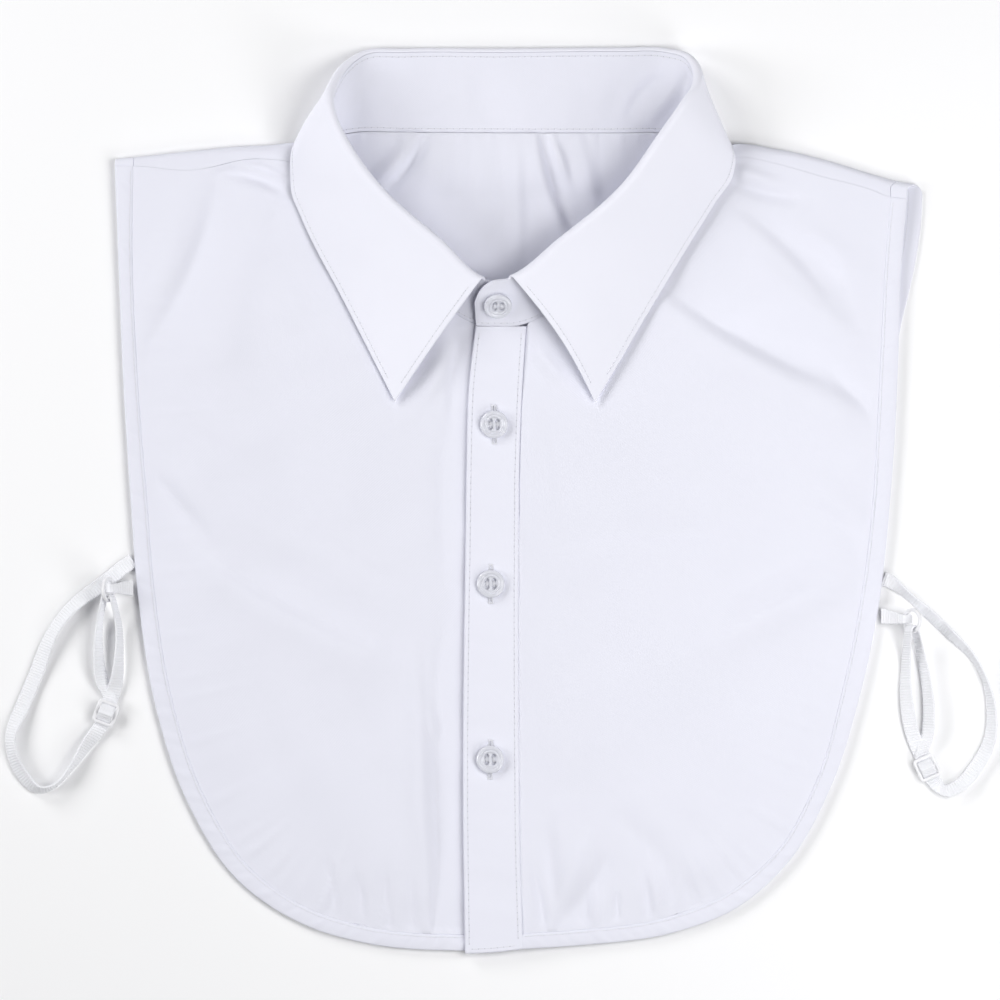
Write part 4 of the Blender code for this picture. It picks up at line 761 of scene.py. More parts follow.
# columns: x, y, width of the turned band
LEFT_EDGE = (
    (-161.7, 140.2, 8.0), (-160.4, 105.4, 6.2), (-157.8, 42.4, 6.4), (-155.1, 0.0, 7.0),
    (-152.0, -40.3, 7.3), (-144.5, -86.9, 7.5), (-131.0, -127.3, 7.5), (-110.9, -158.8, 7.4),
    (-82.7, -178.1, 7.0), (-55.9, -186.1, 6.8), (-16.0, -189.2, 6.8), (8.0, -189.0, 6.8),
)
RIGHT_EDGE = (
    (171.0, 126.4, 7.2), (168.6, 100.0, 7.0), (167.2, 60.0, 7.6), (165.9, 29.4, 7.8),
    (163.8, 0.0, 7.4), (158.8, -45.4, 8.0), (150.8, -83.2, 7.8), (139.4, -119.3, 6.8),
    (120.5, -152.7, 6.8), (99.1, -171.4, 7.4), (73.5, -181.4, 7.0), (33.6, -186.9, 6.6),
    (10.6, -188.4, 6.6),
)
# The placket's long edges. columns: y, left x, right x
PLACKET = (
    (73.1, -10.3, 11.2), (48.0, -13.0, 9.6), (16.4, -14.0, 8.4), (-12.6, -14.4, 8.1),
    (-109.0, -15.5, 8.2), (-142.8, -15.4, 8.5), (-170.0, -15.0, 9.2), (-190.4, -14.7, 9.8),
)
# columns: start x, y, end x, y, half width, height
FRONT_FOLDS = (
    (-104.0, 126.0, -116.0, 66.0, 11.0, 1.6),
    (-146.0, 44.0, -116.0, -22.0, 10.0, 1.2),
    (-116.0, -34.0, -58.0, -66.0, 10.0, 1.4),
    (-34.0, -112.0, -38.0, -166.0, 9.0, 1.2),
    (104.0, 116.0, 140.0, 82.0, 10.0, 1.3),
    (104.0, 62.0, 152.0, 30.0, 11.0, 1.8),
    (88.0, -58.0, 146.0, -30.0, 10.0, 1.4),
    (24.0, -132.0, 34.0, -172.0, 8.0, 1.2),
    (60.0, -128.0, 86.0, -160.0, 9.0, 1.0),
)
# Finer creases of the fronts. columns as in creases
FRONT_CREASES = (
    (-118.0, 139.0, -90.0, 130.0, 1.0, 2.2, 3.5, -0.9),
    (-106.0, 143.0, -88.0, 134.0, 0.0, 1.8, 2.4, -0.8),
    (-110.0, 134.0, -92.0, 126.0, 1.0, 2.0, 3.0, 0.5),
    (-118.0, 134.0, -146.0, 66.0, 4.0, 11.0, 4.5, -1.4),
    (-132.0, 128.0, -150.0, 80.0, 2.0, 5.0, 6.0, 0.5),
    (-112.0, 132.0, -96.0, 118.0, 1.0, 5.0, 7.0, 0.6),
    (-151.0, 12.0, -122.0, -18.0, 1.5, 4.0, 6.5, -1.0),
    (-128.0, -16.0, -50.0, -60.0, -4.0, 12.0, 4.5, -1.2),
    (-120.0, 4.0, -70.0, -26.0, -3.0, 5.0, 8.0, 0.6),
    (-140.0, 50.0, -104.0, 20.0, -2.0, 6.0, 5.0, 0.5),
    (-96.0, 100.0, -84.0, 70.0, 1.0, 6.0, 8.0, 0.5),
    (-70.0, -20.0, -44.0, -34.0, -1.0, 4.0, 6.0, -0.4),
    (-100.0, 60.0, -86.0, -10.0, 3.0, 12.0, 9.0, -0.45),
    (-64.0, 36.0, -60.0, -40.0, -3.0, 9.0, 12.0, 0.45),
    (-36.0, -64.0, -33.0, -140.0, 1.0, 3.0, 5.0, 1.0),
    (-23.0, 72.0, -23.5, 16.0, 0.0, 2.6, 7.0, 0.5),
    (-24.5, -56.0, -23.0, -186.0, -1.0, 5.0, 3.0, -1.0),
    (-18.0, 72.0, -19.0, 18.0, 0.0, 3.5, 3.5, -0.6),
    (-18.5, -52.0, -20.0, -190.0, -1.0, 3.5, 4.5, -0.7),
    (-33.0, -128.0, -31.0, -172.0, 1.0, 3.5, 4.0, 0.6),
    (-24.0, -104.0, -30.0, -88.0, 0.5, 2.0, 3.0, 0.6),
    (-24.0, 44.0, -23.0, -30.0, 0.6, 3.0, 4.5, -0.6),
    (-20.0, 68.0, -34.0, 40.0, 2.0, 3.0, 6.0, 0.9),
    (-86.0, -92.0, -60.0, -150.0, 5.0, 9.0, 12.0, 0.7),
    (-74.0, -70.0, -54.0, -112.0, 3.0, 7.0, 9.0, -0.45),
    (-112.0, -60.0, -96.0, -120.0, 3.0, 10.0, 12.0, -0.6),
    (-130.0, 86.0, -112.0, 36.0, 2.0, 9.0, 12.0, 0.45),
    (66.0, 92.0, 140.0, 50.0, -3.0, 12.0, 4.0, -1.7),
    (74.0, 78.0, 150.0, 36.0, -4.0, 6.0, 12.0, 0.7),
    (138.0, 54.0, 160.0, 34.0, 0.0, 4.0, 4.0, -0.8),
    (100.0, 124.0, 140.0, 84.0, 3.0, 8.0, 4.0, -1.2),
    (112.0, 118.0, 150.0, 98.0, 2.0, 5.0, 5.0, 0.5),
    (128.0, 112.0, 148.0, 76.0, 2.0, 4.0, 6.0, -0.5),
    (104.0, 104.0, 146.0, 70.0, -2.0, 5.0, 8.0, 0.6),
    (97.0, 134.0, 126.0, 127.0, -1.5, 2.2, 3.4, -1.0),
    (99.0, 139.0, 116.0, 134.0, 0.0, 1.8, 2.4, 0.6),
    (26.0, -16.0, 112.0, -19.0, 3.0, 8.0, 5.0, -0.6),
    (92.0, -60.0, 148.0, -34.0, 3.0, 4.0, 9.0, 0.9),
    (86.0, -46.0, 142.0, -20.0, 2.0, 9.0, 5.0, -0.6),
    (34.0, 34.0, 84.0, 10.0, 3.0, 12.0, 10.0, 0.45),
    (30.0, -92.0, 84.0, -66.0, 3.0, 12.0, 10.0, 0.45),
    (19.5, -136.0, 22.5, -172.0, 0.5, 3.0, 4.0, -0.6),
    (39.0, -138.0, 24.0, -172.0, -1.0, 4.0, 4.0, 0.6),
    (47.0, -148.0, 27.0, -177.0, 1.0, 5.5, 4.0, -1.0),
    (47.0, -131.0, 85.0, -176.0, 3.0, 5.5, 5.0, -0.5),
    (14.0, -156.0, 18.5, -180.0, 0.5, 2.0, 2.5, -0.8),
    (36.0, -168.0, 35.0, -182.0, 0.0, 1.6, 2.0, -0.6),
    (49.0, -164.0, 49.5, -179.0, 0.0, 1.6, 2.2, -0.7),
    (60.5, -158.0, 62.5, -175.0, 0.5, 1.8, 2.4, -0.5),
    (70.0, -156.0, 72.5, -170.0, 0.0, 1.8, 2.2, -0.4),
    (-27.5, -160.0, -26.5, -186.0, 0.0, 2.0, 2.0, -0.5),
    (-38.0, -156.0, -37.0, -184.0, 0.5, 2.0, 2.6, -0.5),
    (-48.0, -158.0, -46.5, -183.0, 0.0, 1.8, 2.4, -0.6),
    (-60.0, -156.0, -57.5, -180.0, 0.5, 2.0, 2.8, -0.6),
    (-73.0, -150.0, -69.0, -174.0, 0.5, 2.0, 3.0, -0.5),
    (62.0, -118.0, 100.0, -146.0, 4.0, 8.0, 7.0, 0.5),
    (13.0, 66.0, 26.0, 50.0, 0.0, 3.5, 3.5, 0.9),
    (14.0, 40.0, 22.0, -20.0, 1.0, 4.0, 7.0, 0.4),
    (120.0, 10.0, 154.0, -12.0, 3.0, 8.0, 6.0, 0.6),
    (128.0, -2.0, 156.0, -24.0, 2.0, 5.0, 5.0, -0.5),
)


def placket_side(y, column):
    """x of the placket's left (1) or right (2) edge at a height y."""
    knots = -np.array([row[0] for row in PLACKET])
    return smooth([row[1:] for row in PLACKET], -np.atleast_1d(y), knots)[:, column - 1]


def resample(chain, fractions):
    """Points at fractions of a chain's length."""
    length = chord_knots(chain, 2)
    length = length / length[-1]
    return np.stack([np.interp(fractions, length, chain[:, k]) for k in range(chain.shape[1])], -1)


def hem_seam(side, at):
    """The front panel's outer line, just inside its hem band, at fractions of the edge's length."""
    table, sign = (LEFT_EDGE, -1.0) if side == "left" else (RIGHT_EDGE, 1.0)
    edge, inward, band = edge_curve(table, at, sign)
    return edge + inward * (band + GAP / 2)[:, None]


def neck_line(side, count):
    """The front's half of the neck seam, from the shoulder to the centre."""
    first, last = (LEFT_NECK_ROW, 0) if side == "left" else (RIGHT_NECK_ROW, RIGHT_LEAF_ROW)
    neck = smooth(NECK_ROWS, np.linspace(COLLAR_KNOTS[first], COLLAR_KNOTS[last], 200), COLLAR_KNOTS)
    if side == "right":
        neck = neck[neck[:, 0] > placket_side(neck[:, 1], 2) + GAP]
    return resample(neck, np.linspace(0, 1, count))


def nearest(plan, line):
    """Distance from every point to a line's closest point, and that point's number."""
    distance = np.full(plan.shape[:-1], 1e9)
    number = np.zeros(plan.shape[:-1], int)
    for k, (x, y) in enumerate(line[:, :2]):
        away = np.hypot(plan[..., 0] - x, plan[..., 1] - y)
        number[away < distance] = k
        distance = np.minimum(distance, away)
    return distance, number


def underlap_level(y):
    """Level of the left front where it lies under the placket, raised towards the stand."""
    below = np.clip(PLACKET[0][0] - y, 0, None)
    return UNDERLAP_LEVEL + (COLLAR[0][5] - UNDERLAP_LEVEL) * np.exp(-below / NECK_FADE)


FRONT_CREASE_DEPTH = 1.9
FRONT_LOWEST = 1.62


def fold_height(x, y, folds):
    """Sum of soft ridges: a bell across each fold, fading the same way past its ends."""
    height = np.zeros_like(x)
    for x0, y0, x1, y1, width, rise in folds:
        run = np.array([x1 - x0, y1 - y0])
        along = np.clip(((x - x0) * run[0] + (y - y0) * run[1]) / np.dot(run, run), 0, 1)
        away = np.hypot(x - x0 - along * run[0], y - y0 - along * run[1])
        height = height + rise * np.exp(-((away / width) ** 2))
    return height


def under_leaf(x, y):
    """1 where the collar's leaves lie on the fronts, fading to 0 over 10 mm outside their edges."""
    cover = np.zeros_like(x)
    for point, outer, inner in (((-44.1, 41.2), (-87.8, 135.0), (-5.9, 93.0)),
                                ((39.9, 40.7), (97.2, 136.0), (3.4, 93.6))):
        sides = []
        for far in (outer, inner):
            run = unit(np.array(far) - np.array(point))
            sides.append((x - point[0]) * run[1] - (y - point[1]) * run[0])
        turn = 1.0 if point[0] < 0 else -1.0
        inside = np.minimum(sides[0] * turn, -sides[1] * turn)
        cover = np.maximum(cover, soft_step((inside + 6.0) / 10.0))
    return cover


UNDER_BAND = 2.2
UNDER_BAND_DROP = 0.75
UNDER_PLACKET = 2.6
UNDER_PLACKET_DROP = 1.0


def front_height(side, plan, fine=True):
    """A front's level: low at its hem, raised at the neck seam, puffed and folded between."""
    seam = hem_seam(side, np.linspace(0, 1, 420))
    hem, place_hem = nearest(plan, seam)
    line = neck_line(side, 160)
    neck, place = nearest(plan, line)
    at_neck = np.exp(-neck / NECK_FADE)
    x, y = plan[..., 0], plan[..., 1]
    if side == "left":
        centre = np.clip(UNDERLAP_EDGE - x, 0, None)
        middle_level = underlap_level(y)
    else:
        aside = x - placket_side(y.ravel(), 2).reshape(y.shape)
        centre = np.hypot(np.clip(aside, 0, None), np.clip(y - PLACKET[0][0], 0, None))
        middle_level = PLACKET_SIDE_LEVEL
    at_centre = np.exp(-centre / NECK_FADE) * (1 - at_neck * (side == "right"))
    at_hem = np.exp(-hem / HEM_FADE) * (1 - at_centre)
    inside = np.minimum(hem, np.minimum(centre, neck))
    calm = soft_step(inside / PUFF_FADE)
    height = FRONT_LEVEL + FRONT_PUFF * (1 - np.exp(-inside / PUFF_FADE)) + fold_height(x, y, FRONT_FOLDS) * calm
    if fine:
        drift = wander(x * 0.8 + y * 0.6, 21, (71, 43, 29), (0.22, 0.14, 0.08))
        drift = drift + wander(y * 0.9 - x * 0.5, 22, (83, 37, 23), (0.22, 0.12, 0.06))
        height = height + drift * calm
        run = chord_knots(seam, 2)[place_hem]
        pucker = wander(run, 31, (9.3, 14.1, 6.7, 23.0), (0.8, 0.7, 0.5, 0.4))
        pucker = np.maximum(pucker, -0.15) * (0.35 + 0.65 * soft_step((-y - 110) / 40))
        reach = 8.0 + 5.0 * np.abs(wander(run, 33, (31.0, 17.0), (0.8, 0.6)))
        height = height + pucker * np.exp(-hem / reach) * soft_step(hem / 1.0)
        height = height - 0.9 * under_leaf(x, y) * calm
    height = height + (line[place, 2] - FRONT_LEVEL) * at_neck
    height = height * (1 - at_hem) + HEM_LEVEL * at_hem
    return height * (1 - at_centre) + middle_level * at_centre


def front_grid(side, neck_rows, down_rows, across_steps):
    """A front panel's middle surface, in rows from its neckline or centre edge to its hem seam.

    The first row follows the shoulder seam and the last one the hem, and the bend into each fades
    over the rows beside it. The second value is the hem's stations, as fractions of its length.
    """
    shoulder = LEFT_SHOULDER if side == "left" else RIGHT_SHOULDER
    neck = neck_line(side, neck_rows)[:, :2]
    corner = hem_seam(side, np.array([1.0]))[0]
    y = np.linspace(neck[-1, 1], corner[1], down_rows + 1)[1:]
    x = np.full_like(y, UNDERLAP_X) if side == "left" else placket_side(y, 2) + GAP
    inner = np.concatenate([neck, np.stack([x, y], -1)])
    share = chord_knots(inner, 2)
    share = share / share[-1]
    outer = hem_seam(side, share * HEM_TURN)
    part = np.linspace(0, 1, across_steps + 1)
    seam = shoulder_rows(shoulder, part * seam_share(shoulder))
    seam_line = seam[:, :2] - np.array([0.0, SEWN / 2])
    last_at = 1 - part * (1 - HEM_TURN)
    last_line = hem_seam(side, last_at)
    first_chord = inner[0] + (outer[0] - inner[0]) * part[:, None]
    last_chord = inner[-1] + (outer[-1] - inner[-1]) * part[:, None]
    plan = (inner[:, None] + (outer - inner)[:, None] * part[:, None]
            + (1 - share[:, None, None]) ** SEAM_FADE * (seam_line - first_chord)
            + share[:, None, None] ** SEAM_FADE * (last_line - last_chord))
    height = front_height(side, plan)
    seam_part = (1 - share[:, None]) ** SEAM_FADE
    height = height * (1 - seam_part) + seam[:, 4] * seam_part
    border = np.minimum(np.linalg.norm(plan - plan[:1], axis=-1) * 1.6,
                        np.linalg.norm(plan - plan[-1:], axis=-1))
    border = np.minimum(border, np.linalg.norm(plan - plan[:, :1], axis=-1))
    border = np.minimum(border, np.linalg.norm(plan - plan[:, -1:], axis=-1))
    height = height + FRONT_CREASE_DEPTH * creases(plan[..., 0], plan[..., 1], FRONT_CREASES) * soft_step(border / 5)
    above = height - FRONT_LOWEST
    height = FRONT_LOWEST + (above + np.hypot(above, 0.1)) / 2
    outwards = unit(plan[:, -1] - plan[:, -2])
    tucked = np.stack([plan[:, -1] + outwards * step for step in (0.35, UNDER_BAND)], 1)
    plan = np.concatenate([plan, tucked], 1)
    level = height[:, -1:]
    height = np.concatenate([height, level - UNDER_BAND_DROP * 0.6, level - UNDER_BAND_DROP], 1)
    downwards = unit(plan[-1] - plan[-2])
    tucked = np.stack([plan[-1] + downwards * step for step in (0.35, UNDER_BAND)], 0)
    plan = np.concatenate([plan, tucked], 0)
    level = height[-1:]
    height = np.concatenate([height, level - UNDER_BAND_DROP * 0.6, level - UNDER_BAND_DROP], 0)
    if side == "right":
        beside = (plan[:, 0, 1] < PLACKET[0][0]).astype(float)
        inwards = np.stack([-beside, 0 * beside], -1)
        tucked = np.stack([plan[:, 0] + inwards * step for step in (UNDER_PLACKET, 0.35)], 1)
        plan = np.concatenate([tucked, plan], 1)
        drop = UNDER_PLACKET_DROP * beside * (0.35 + 0.65 * soft_step((plan[:, 0, 1] + 30) / 60))
        height = np.stack([height[:, 0] - drop, height[:, 0] - drop * 0.7, *height.T], 1)
    stations = np.concatenate([share * HEM_TURN, last_at[::-1][1:]])
    return np.concatenate([plan, height[..., None]], axis=-1), stations


hem_stations = {}
for side in ("left", "right"):
    grid, hem_stations[side] = front_grid(side, 95, 185, 108)
    if side == "right":
        grid = grid[:, ::-1]
    front = shell("front_" + side + "_cloth", grid, PANEL_WALL, cotton, "front_" + side,
                  seams=("first_row",))


# Hem bands
# The free edge of every panel, turned under twice to a narrow band and sewn down near its inner
# fold, which draws the cloth into small slanting puckers.

BAND_CROWN = 0.45
HEM_WALL = 0.9
BAND_TUCK = 1.8
BAND_TUCK_DROP = 0.35


def band_grid(side, at, steps):
    """A front's hem band from its seam to its edge: a low crown with slanting ripples along it."""
    table, sign = (LEFT_EDGE, -1.0) if side == "left" else (RIGHT_EDGE, 1.0)
    shoulder = LEFT_SHOULDER if side == "left" else RIGHT_SHOULDER
    edge, inward, band = edge_curve(table, at, sign)
    seam = edge + inward * (band - GAP / 2)[:, None]
    level = front_height(side, hem_seam(side, at), fine=False)
    part = np.linspace(0, 1, steps + 1)
    plan = seam[:, None] + (edge - seam)[:, None] * part[:, None]
    ends = shoulder_rows(shoulder, seam_share(shoulder) + (1 - seam_share(shoulder)) * part)
    start = np.stack([ends[:, 0], ends[:, 1] - SEWN / 2], -1)
    start[0] += unit(start[1] - start[0]) * GAP / 2
    reach = (1 - at[:, None]) ** SEAM_FADE
    plan = plan + (start - plan[0])[None] * reach[..., None]
    level = level[:, None] + (ends[:, 4] - level[0])[None] * reach
    run = chord_knots(edge, 2)[:, None]
    ripple = wander(run + 5.0 * part, 41, (5.3, 8.9, 13.0, 31.0), (0.09, 0.1, 0.07, 0.1))
    swell = np.sin(math.pi * part) ** 0.7
    return np.concatenate([plan, (level + (BAND_CROWN + ripple) * swell)[..., None]], -1)


hem_lines = []
for side in ("left", "right"):
    at = np.linspace(0, 1, 460)
    grid = band_grid(side, at, 9)
    if side == "right":
        onward = unit(grid[-1] - grid[-2]) * BAND_TUCK - np.array([0.0, 0.0, BAND_TUCK_DROP])
        grid = np.concatenate([grid, (grid[-1] + onward * 0.3)[None], (grid[-1] + onward)[None]])[:, ::-1]
    hem = shell("front_" + side + "_hem_cloth", grid, HEM_WALL, cotton,
                "front_" + side + "_hem", seams=("first_row",))
    border = "first_column" if side == "left" else "last_column"
    hem_lines.append(line_on(grid, border, 1.3, -HEM_WALL / 2, (2, 2)))
back_strip = trimmed(back_band, SEWN, 0.0)
back_hem = shell("back_hem_cloth", back_strip, PANEL_WALL, cotton, "back_hem",
                 seams=("first_row", "last_row"))
hem_lines.append(line_on(back_strip, "first_column", 1.3, -0.5, (2, 2)))
stitches("hem_stitches", hem_lines, hole=faint_hole_painted_shade)


# Placket
# A straight folded band down the right front, over the left one. It is sewn along both edges and
# holds the buttonholes.

PLACKET_WALL = 1.6
PLACKET_LEVEL = 3.9
PLACKET_BOTTOM_RISE = 2.0


def placket_grid(rows, across_steps):
    """The placket's middle surface: level across, raised to the stand, softly uneven along it."""
    y = np.linspace(PLACKET[0][0], PLACKET[-1][0], rows)
    left = placket_side(y, 1)
    right = placket_side(y, 2) - GAP / 2
    part = np.linspace(0, 1, across_steps + 1)
    x = left[:, None] + (right - left)[:, None] * part
    neck_level = COLLAR[RIGHT_LEAF_ROW][5]
    level = PLACKET_LEVEL + (neck_level - PLACKET_LEVEL) * np.exp(-(y[0] - y) / NECK_FADE)
    bottom = PLACKET_BOTTOM_RISE * part ** 2
    rise = soft_step((y[0] - y) / (y[0] - y[-1]) * 12 - 11)
    waves = wander(y[:, None] + 4 * part, 51, (47, 29, 17, 9), (0.12, 0.1, 0.06, 0.03))
    y = y[:, None] + bottom * rise[:, None]
    y[0] -= GAP / 2
    height = level[:, None] + waves * soft_step((PLACKET[0][0] - y) / 10)
    return np.stack([x, y, height], -1)


folded_cotton = cloth_material("folded_cotton", (0.82, 0.825, 0.912), (0.795, 0.8, 0.887), 0.88, 0.00034, 0.00008)
placket_cloth_grid = placket_grid(300, 26)[:, ::-1]
placket = shell("placket_cloth", placket_cloth_grid, PLACKET_WALL, folded_cotton, "placket",
                seams=("first_row",))
stitches("placket_stitches", [
    line_on(placket_cloth_grid, "first_column", 1.9, -PLACKET_WALL / 2, (3, 3)),
    line_on(placket_cloth_grid, "last_column", 1.9, -PLACKET_WALL / 2, (3, 3)),
    line_on(placket_cloth_grid, "last_row", 1.9, -PLACKET_WALL / 2, (3, 3)),
])


# Buttons and buttonholes
# Clear moulded shirt buttons with a raised rim, a ring groove and four holes, sewn with two pairs
# of threads. Each buttonhole is a slit between two rows of close cross stitches, with barred ends.

BUTTON_RADIUS = 5.9
BUTTON_HEIGHT = 2.2
BUTTON_HOLE_RADIUS = 0.8
BUTTON_HOLE_PITCH = 2.9
BUTTON_PIT = 1.4
THREAD_REACH = 1.15
BUTTON_CLEAR = 0.9
STAND_BUTTON = (-0.9, 82.6)
PLACKET_BUTTONS = ((-2.5, 31.7), (-3.9, -35.2), (-4.1, -108.9))
# The button's face, from its middle to its rim. columns: radius, height
BUTTON_FACE = ((0.0, 1.45), (2.3, 1.36), (2.75, 1.3), (3.15, 1.85), (3.55, 2.0), (3.8, 1.7), (4.05, 1.66),
               (4.3, 1.98), (4.7, 2.2), (5.1, 2.16), (5.45, 1.95))
BUTTONHOLE_HALF = 8.2
BUTTONHOLE_PITCH = 0.42


def hard_piece(name, parts, material, node=None):
    """One object from several closed meshes, with its faces turned outwards."""
    verts = []
    faces = []
    for points, corners in parts:
        count = sum(map(len, verts))
        verts.append(points)
        faces += [[corner + count for corner in face] for face in corners]
    mesh = bpy.data.meshes.new(name)
    mesh.from_pydata(((np.concatenate(verts) + SHIFT) * MM).tolist(), [], faces)
    drawn = bmesh.new()
    drawn.from_mesh(mesh)
    bmesh.ops.recalc_face_normals(drawn, faces=drawn.faces)
    drawn.to_mesh(mesh)
    drawn.free()
    mesh.materials.append(material)
    mesh.shade_smooth()
    mesh.set_sharp_from_angle(angle=math.radians(60))
    piece = bpy.data.objects.new(name, mesh)
    bpy.context.scene.collection.objects.link(piece)
    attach(piece, "root")
    if node:
        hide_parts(node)
    return piece


def button_points(count):
    """Points across a disc, from a square grid pushed out to a circle.

    Each of two parameters runs from -1 to 1, closer together at the rim. x is the first by the
    root of one less half the second's square, and y the same the other way round.
    """
    part = np.linspace(-1, 1, count)
    part = np.sign(part) * (1 - (1 - np.abs(part)) ** 1.5)
    u, v = np.meshgrid(part, part, indexing="ij")
    return u * np.sqrt(1 - v * v / 2), v * np.sqrt(1 - u * u / 2)


def button_mesh(seat, normal):
    """A closed button on its seat: top and underside over the same disc, joined at the rim."""
    u, v = button_points(53)
    radius = np.hypot(u, v) * BUTTON_RADIUS
    x, y = u * BUTTON_RADIUS, v * BUTTON_RADIUS
    face = np.array(BUTTON_FACE)
    top = np.interp(radius, face[:, 0], face[:, 1])
    hole = np.hypot(np.abs(x) - BUTTON_HOLE_PITCH / 2, np.abs(y) - BUTTON_HOLE_PITCH / 2)
    top = top - BUTTON_PIT * (1 - soft_step((hole - BUTTON_HOLE_RADIUS + 0.12) / 0.24))
    under = 0.12 * np.exp(-((radius / 4.5) ** 4))
    middle = BUTTON_HEIGHT * 0.45
    edge = np.sqrt(np.clip(1 - ((radius - BUTTON_RADIUS + 0.45) / 0.45) ** 2, 0, 1))
    edge = np.where(radius > BUTTON_RADIUS - 0.45, edge, 1.0)
    top = middle + (top - middle) * edge
    under = middle + (under - middle) * edge
    normal = unit(np.asarray(normal, dtype=float))
    right = unit(np.cross([0.0, 1.0, 0.0], normal))
    ahead = np.cross(normal, right)
    flat = seat + right * x[..., None] + ahead * y[..., None]
    inner = np.zeros(x.shape, bool)
    inner[1:-1, 1:-1] = True
    number = np.arange(x.size).reshape(x.shape)
    below = number.copy()
    below[inner] = x.size + np.arange(inner.sum())
    quads = [np.stack([n[:-1, :-1], n[1:, :-1], n[1:, 1:], n[:-1, 1:]], -1).reshape(-1, 4)
             for n in (number, below)]
    points = np.concatenate([(flat + normal * top[..., None]).reshape(-1, 3),
                             (flat + normal * under[..., None])[inner]])
    return points, quads[0].tolist() + quads[1][:, ::-1].tolist()


def thread_arcs(starts, ends, normal, rise, thick):
    """Threads from hole to hole: a half sine above the straight line, as even round tubes."""
    part = np.linspace(0, 1, 9)
    centre = starts[:, None] + (ends - starts)[:, None] * part[:, None]
    centre = centre + normal * (rise * np.sin(math.pi * part) - 0.5 * np.abs(2 * part - 1) ** 6)[:, None]
    run = unit(np.gradient(centre, axis=1))
    side = unit(np.cross(run, np.broadcast_to(normal, run.shape)))
    return tube_mesh(centre, side, np.cross(side, run), np.full(run.shape[:2], thick))


def buttonhole(name, seat, normal, slant):
    """Cross stitches in two rows beside a slit, and longer ones across each end."""
    normal = unit(np.asarray(normal, dtype=float))
    right = unit(np.cross([0.0, 1.0, 0.0], normal))
    ahead = unit(np.cross(normal, right) + right * slant)
    at = np.arange(-BUTTONHOLE_HALF, BUTTONHOLE_HALF, BUTTONHOLE_PITCH)
    uneven = 0.08 * np.sin(at * 7.3) + 0.06 * np.sin(at * 3.1 + 1)
    starts = [seat + ahead * at[:, None] + right * (sign * 0.18) for sign in (-1, 1)]
    ends = [seat + ahead * at[:, None] + right * (sign * (1.05 + uneven))[:, None] for sign in (-1, 1)]
    bars = np.array([-1, -0.97, 0.97, 1])[:, None] * BUTTONHOLE_HALF
    starts.append(seat + ahead * bars - right * 1.2)
    ends.append(seat + ahead * bars + right * 1.2)
    tubes = thread_arcs(np.concatenate(starts), np.concatenate(ends), normal, 0.25, 0.22)
    slit_ends = seat + ahead * np.array([[-BUTTONHOLE_HALF * 0.96], [BUTTONHOLE_HALF * 0.96]])
    hard_piece(name, [tubes], thread)
    # Painted shade of the slit: a thin tube in the needle holes' darker colour along its length.
    slit = thread_arcs(slit_ends[:1], slit_ends[1:], normal, 0.03, 0.12)
    hard_piece(name + "_slit_painted_shade", [slit], needle_hole_painted_shade)


def clear_material():
    """Clear moulded plastic: light passes through it, and its faint haze shows as bump."""
    material = bpy.data.materials.new("clear_plastic")
    material.use_nodes = True
    tree = material.node_tree
    shader = tree.nodes["Principled BSDF"]
    shader.inputs["Transmission Weight"].default_value = 0.2
    shader.inputs["IOR"].default_value = 1.46
    place = add_node(tree, "ShaderNodeTexCoord")
    cloud = add_node(tree, "ShaderNodeTexNoise", [("Vector", place.outputs["Object"]), ("Scale", 500.0),
                                                  ("Detail", 2.0)])
    mix = add_node(tree, "ShaderNodeMix", [("Factor", cloud.outputs["Fac"])], data_type="RGBA")
    mix.inputs[6].default_value = (0.8, 0.81, 0.88, 1.0)
    mix.inputs[7].default_value = (0.9, 0.91, 0.98, 1.0)
    tree.links.new(mix.outputs[2], shader.inputs["Base Color"])
    rough = add_node(tree, "ShaderNodeMapRange", [("Value", cloud.outputs["Fac"]), ("To Min", 0.06),
                                                  ("To Max", 0.16)])
    tree.links.new(rough.outputs[0], shader.inputs["Roughness"])
    bump = add_node(tree, "ShaderNodeBump", [("Height", cloud.outputs["Fac"]), ("Strength", 0.1),
                                             ("Distance", 0.0001)])
    tree.links.new(bump.outputs[0], shader.inputs["Normal"])
    return material


clear_plastic = clear_material()
stand_mid = COLLAR_KNOTS[RIGHT_LEAF_ROW:RIGHT_LEAF_ROW + 2].mean()
tab_face = stand_surface(np.array([stand_mid]), np.array([0.0, 1.0]))[0]
tab_outward = collar_frame(np.array([stand_mid]))[4][0]
tab_seat = tab_face[0] + (tab_face[1] - tab_face[0]) * (
    (STAND_BUTTON[1] - tab_face[0, 1]) / (tab_face[1, 1] - tab_face[0, 1]))
tab_seat = tab_seat + np.array([STAND_BUTTON[0] - tab_seat[0], 0.0, 0.0])
seats = [(tab_seat + tab_outward * (COLLAR_WALL / 2 + BUTTON_CLEAR), tab_outward)]
for x, y in PLACKET_BUTTONS:
    seats.append((np.array([x, y, PLACKET_LEVEL + PLACKET_WALL / 2 + GAP]), np.array([0.0, 0.0, 1.0])))
for number, (seat, normal) in enumerate(seats, start=1):
    hard_piece(f"button_{number}_clear", [button_mesh(seat, normal)], clear_plastic,
               f"button_{number}")
    right = unit(np.cross([0.0, 1.0, 0.0], normal))
    ahead = np.cross(normal, right)
    offsets = (-0.24, 0.2)
    low_ends = np.array([seat + right * (sign * BUTTON_HOLE_PITCH / 2 + off) - ahead * THREAD_REACH
                         for sign in (-1, 1) for off in offsets]) + normal * 1.45
    high_ends = low_ends + ahead * 2 * THREAD_REACH
    sewing = thread_arcs(low_ends, high_ends, normal, 0.4, 0.2)
    hard_piece(f"button_{number}_thread", [sewing], thread)
    if number > 1:
        ground = seat - normal * (GAP - 0.08)
        buttonhole(f"buttonhole_{number}", ground, normal, 0.02 * (number - 3))


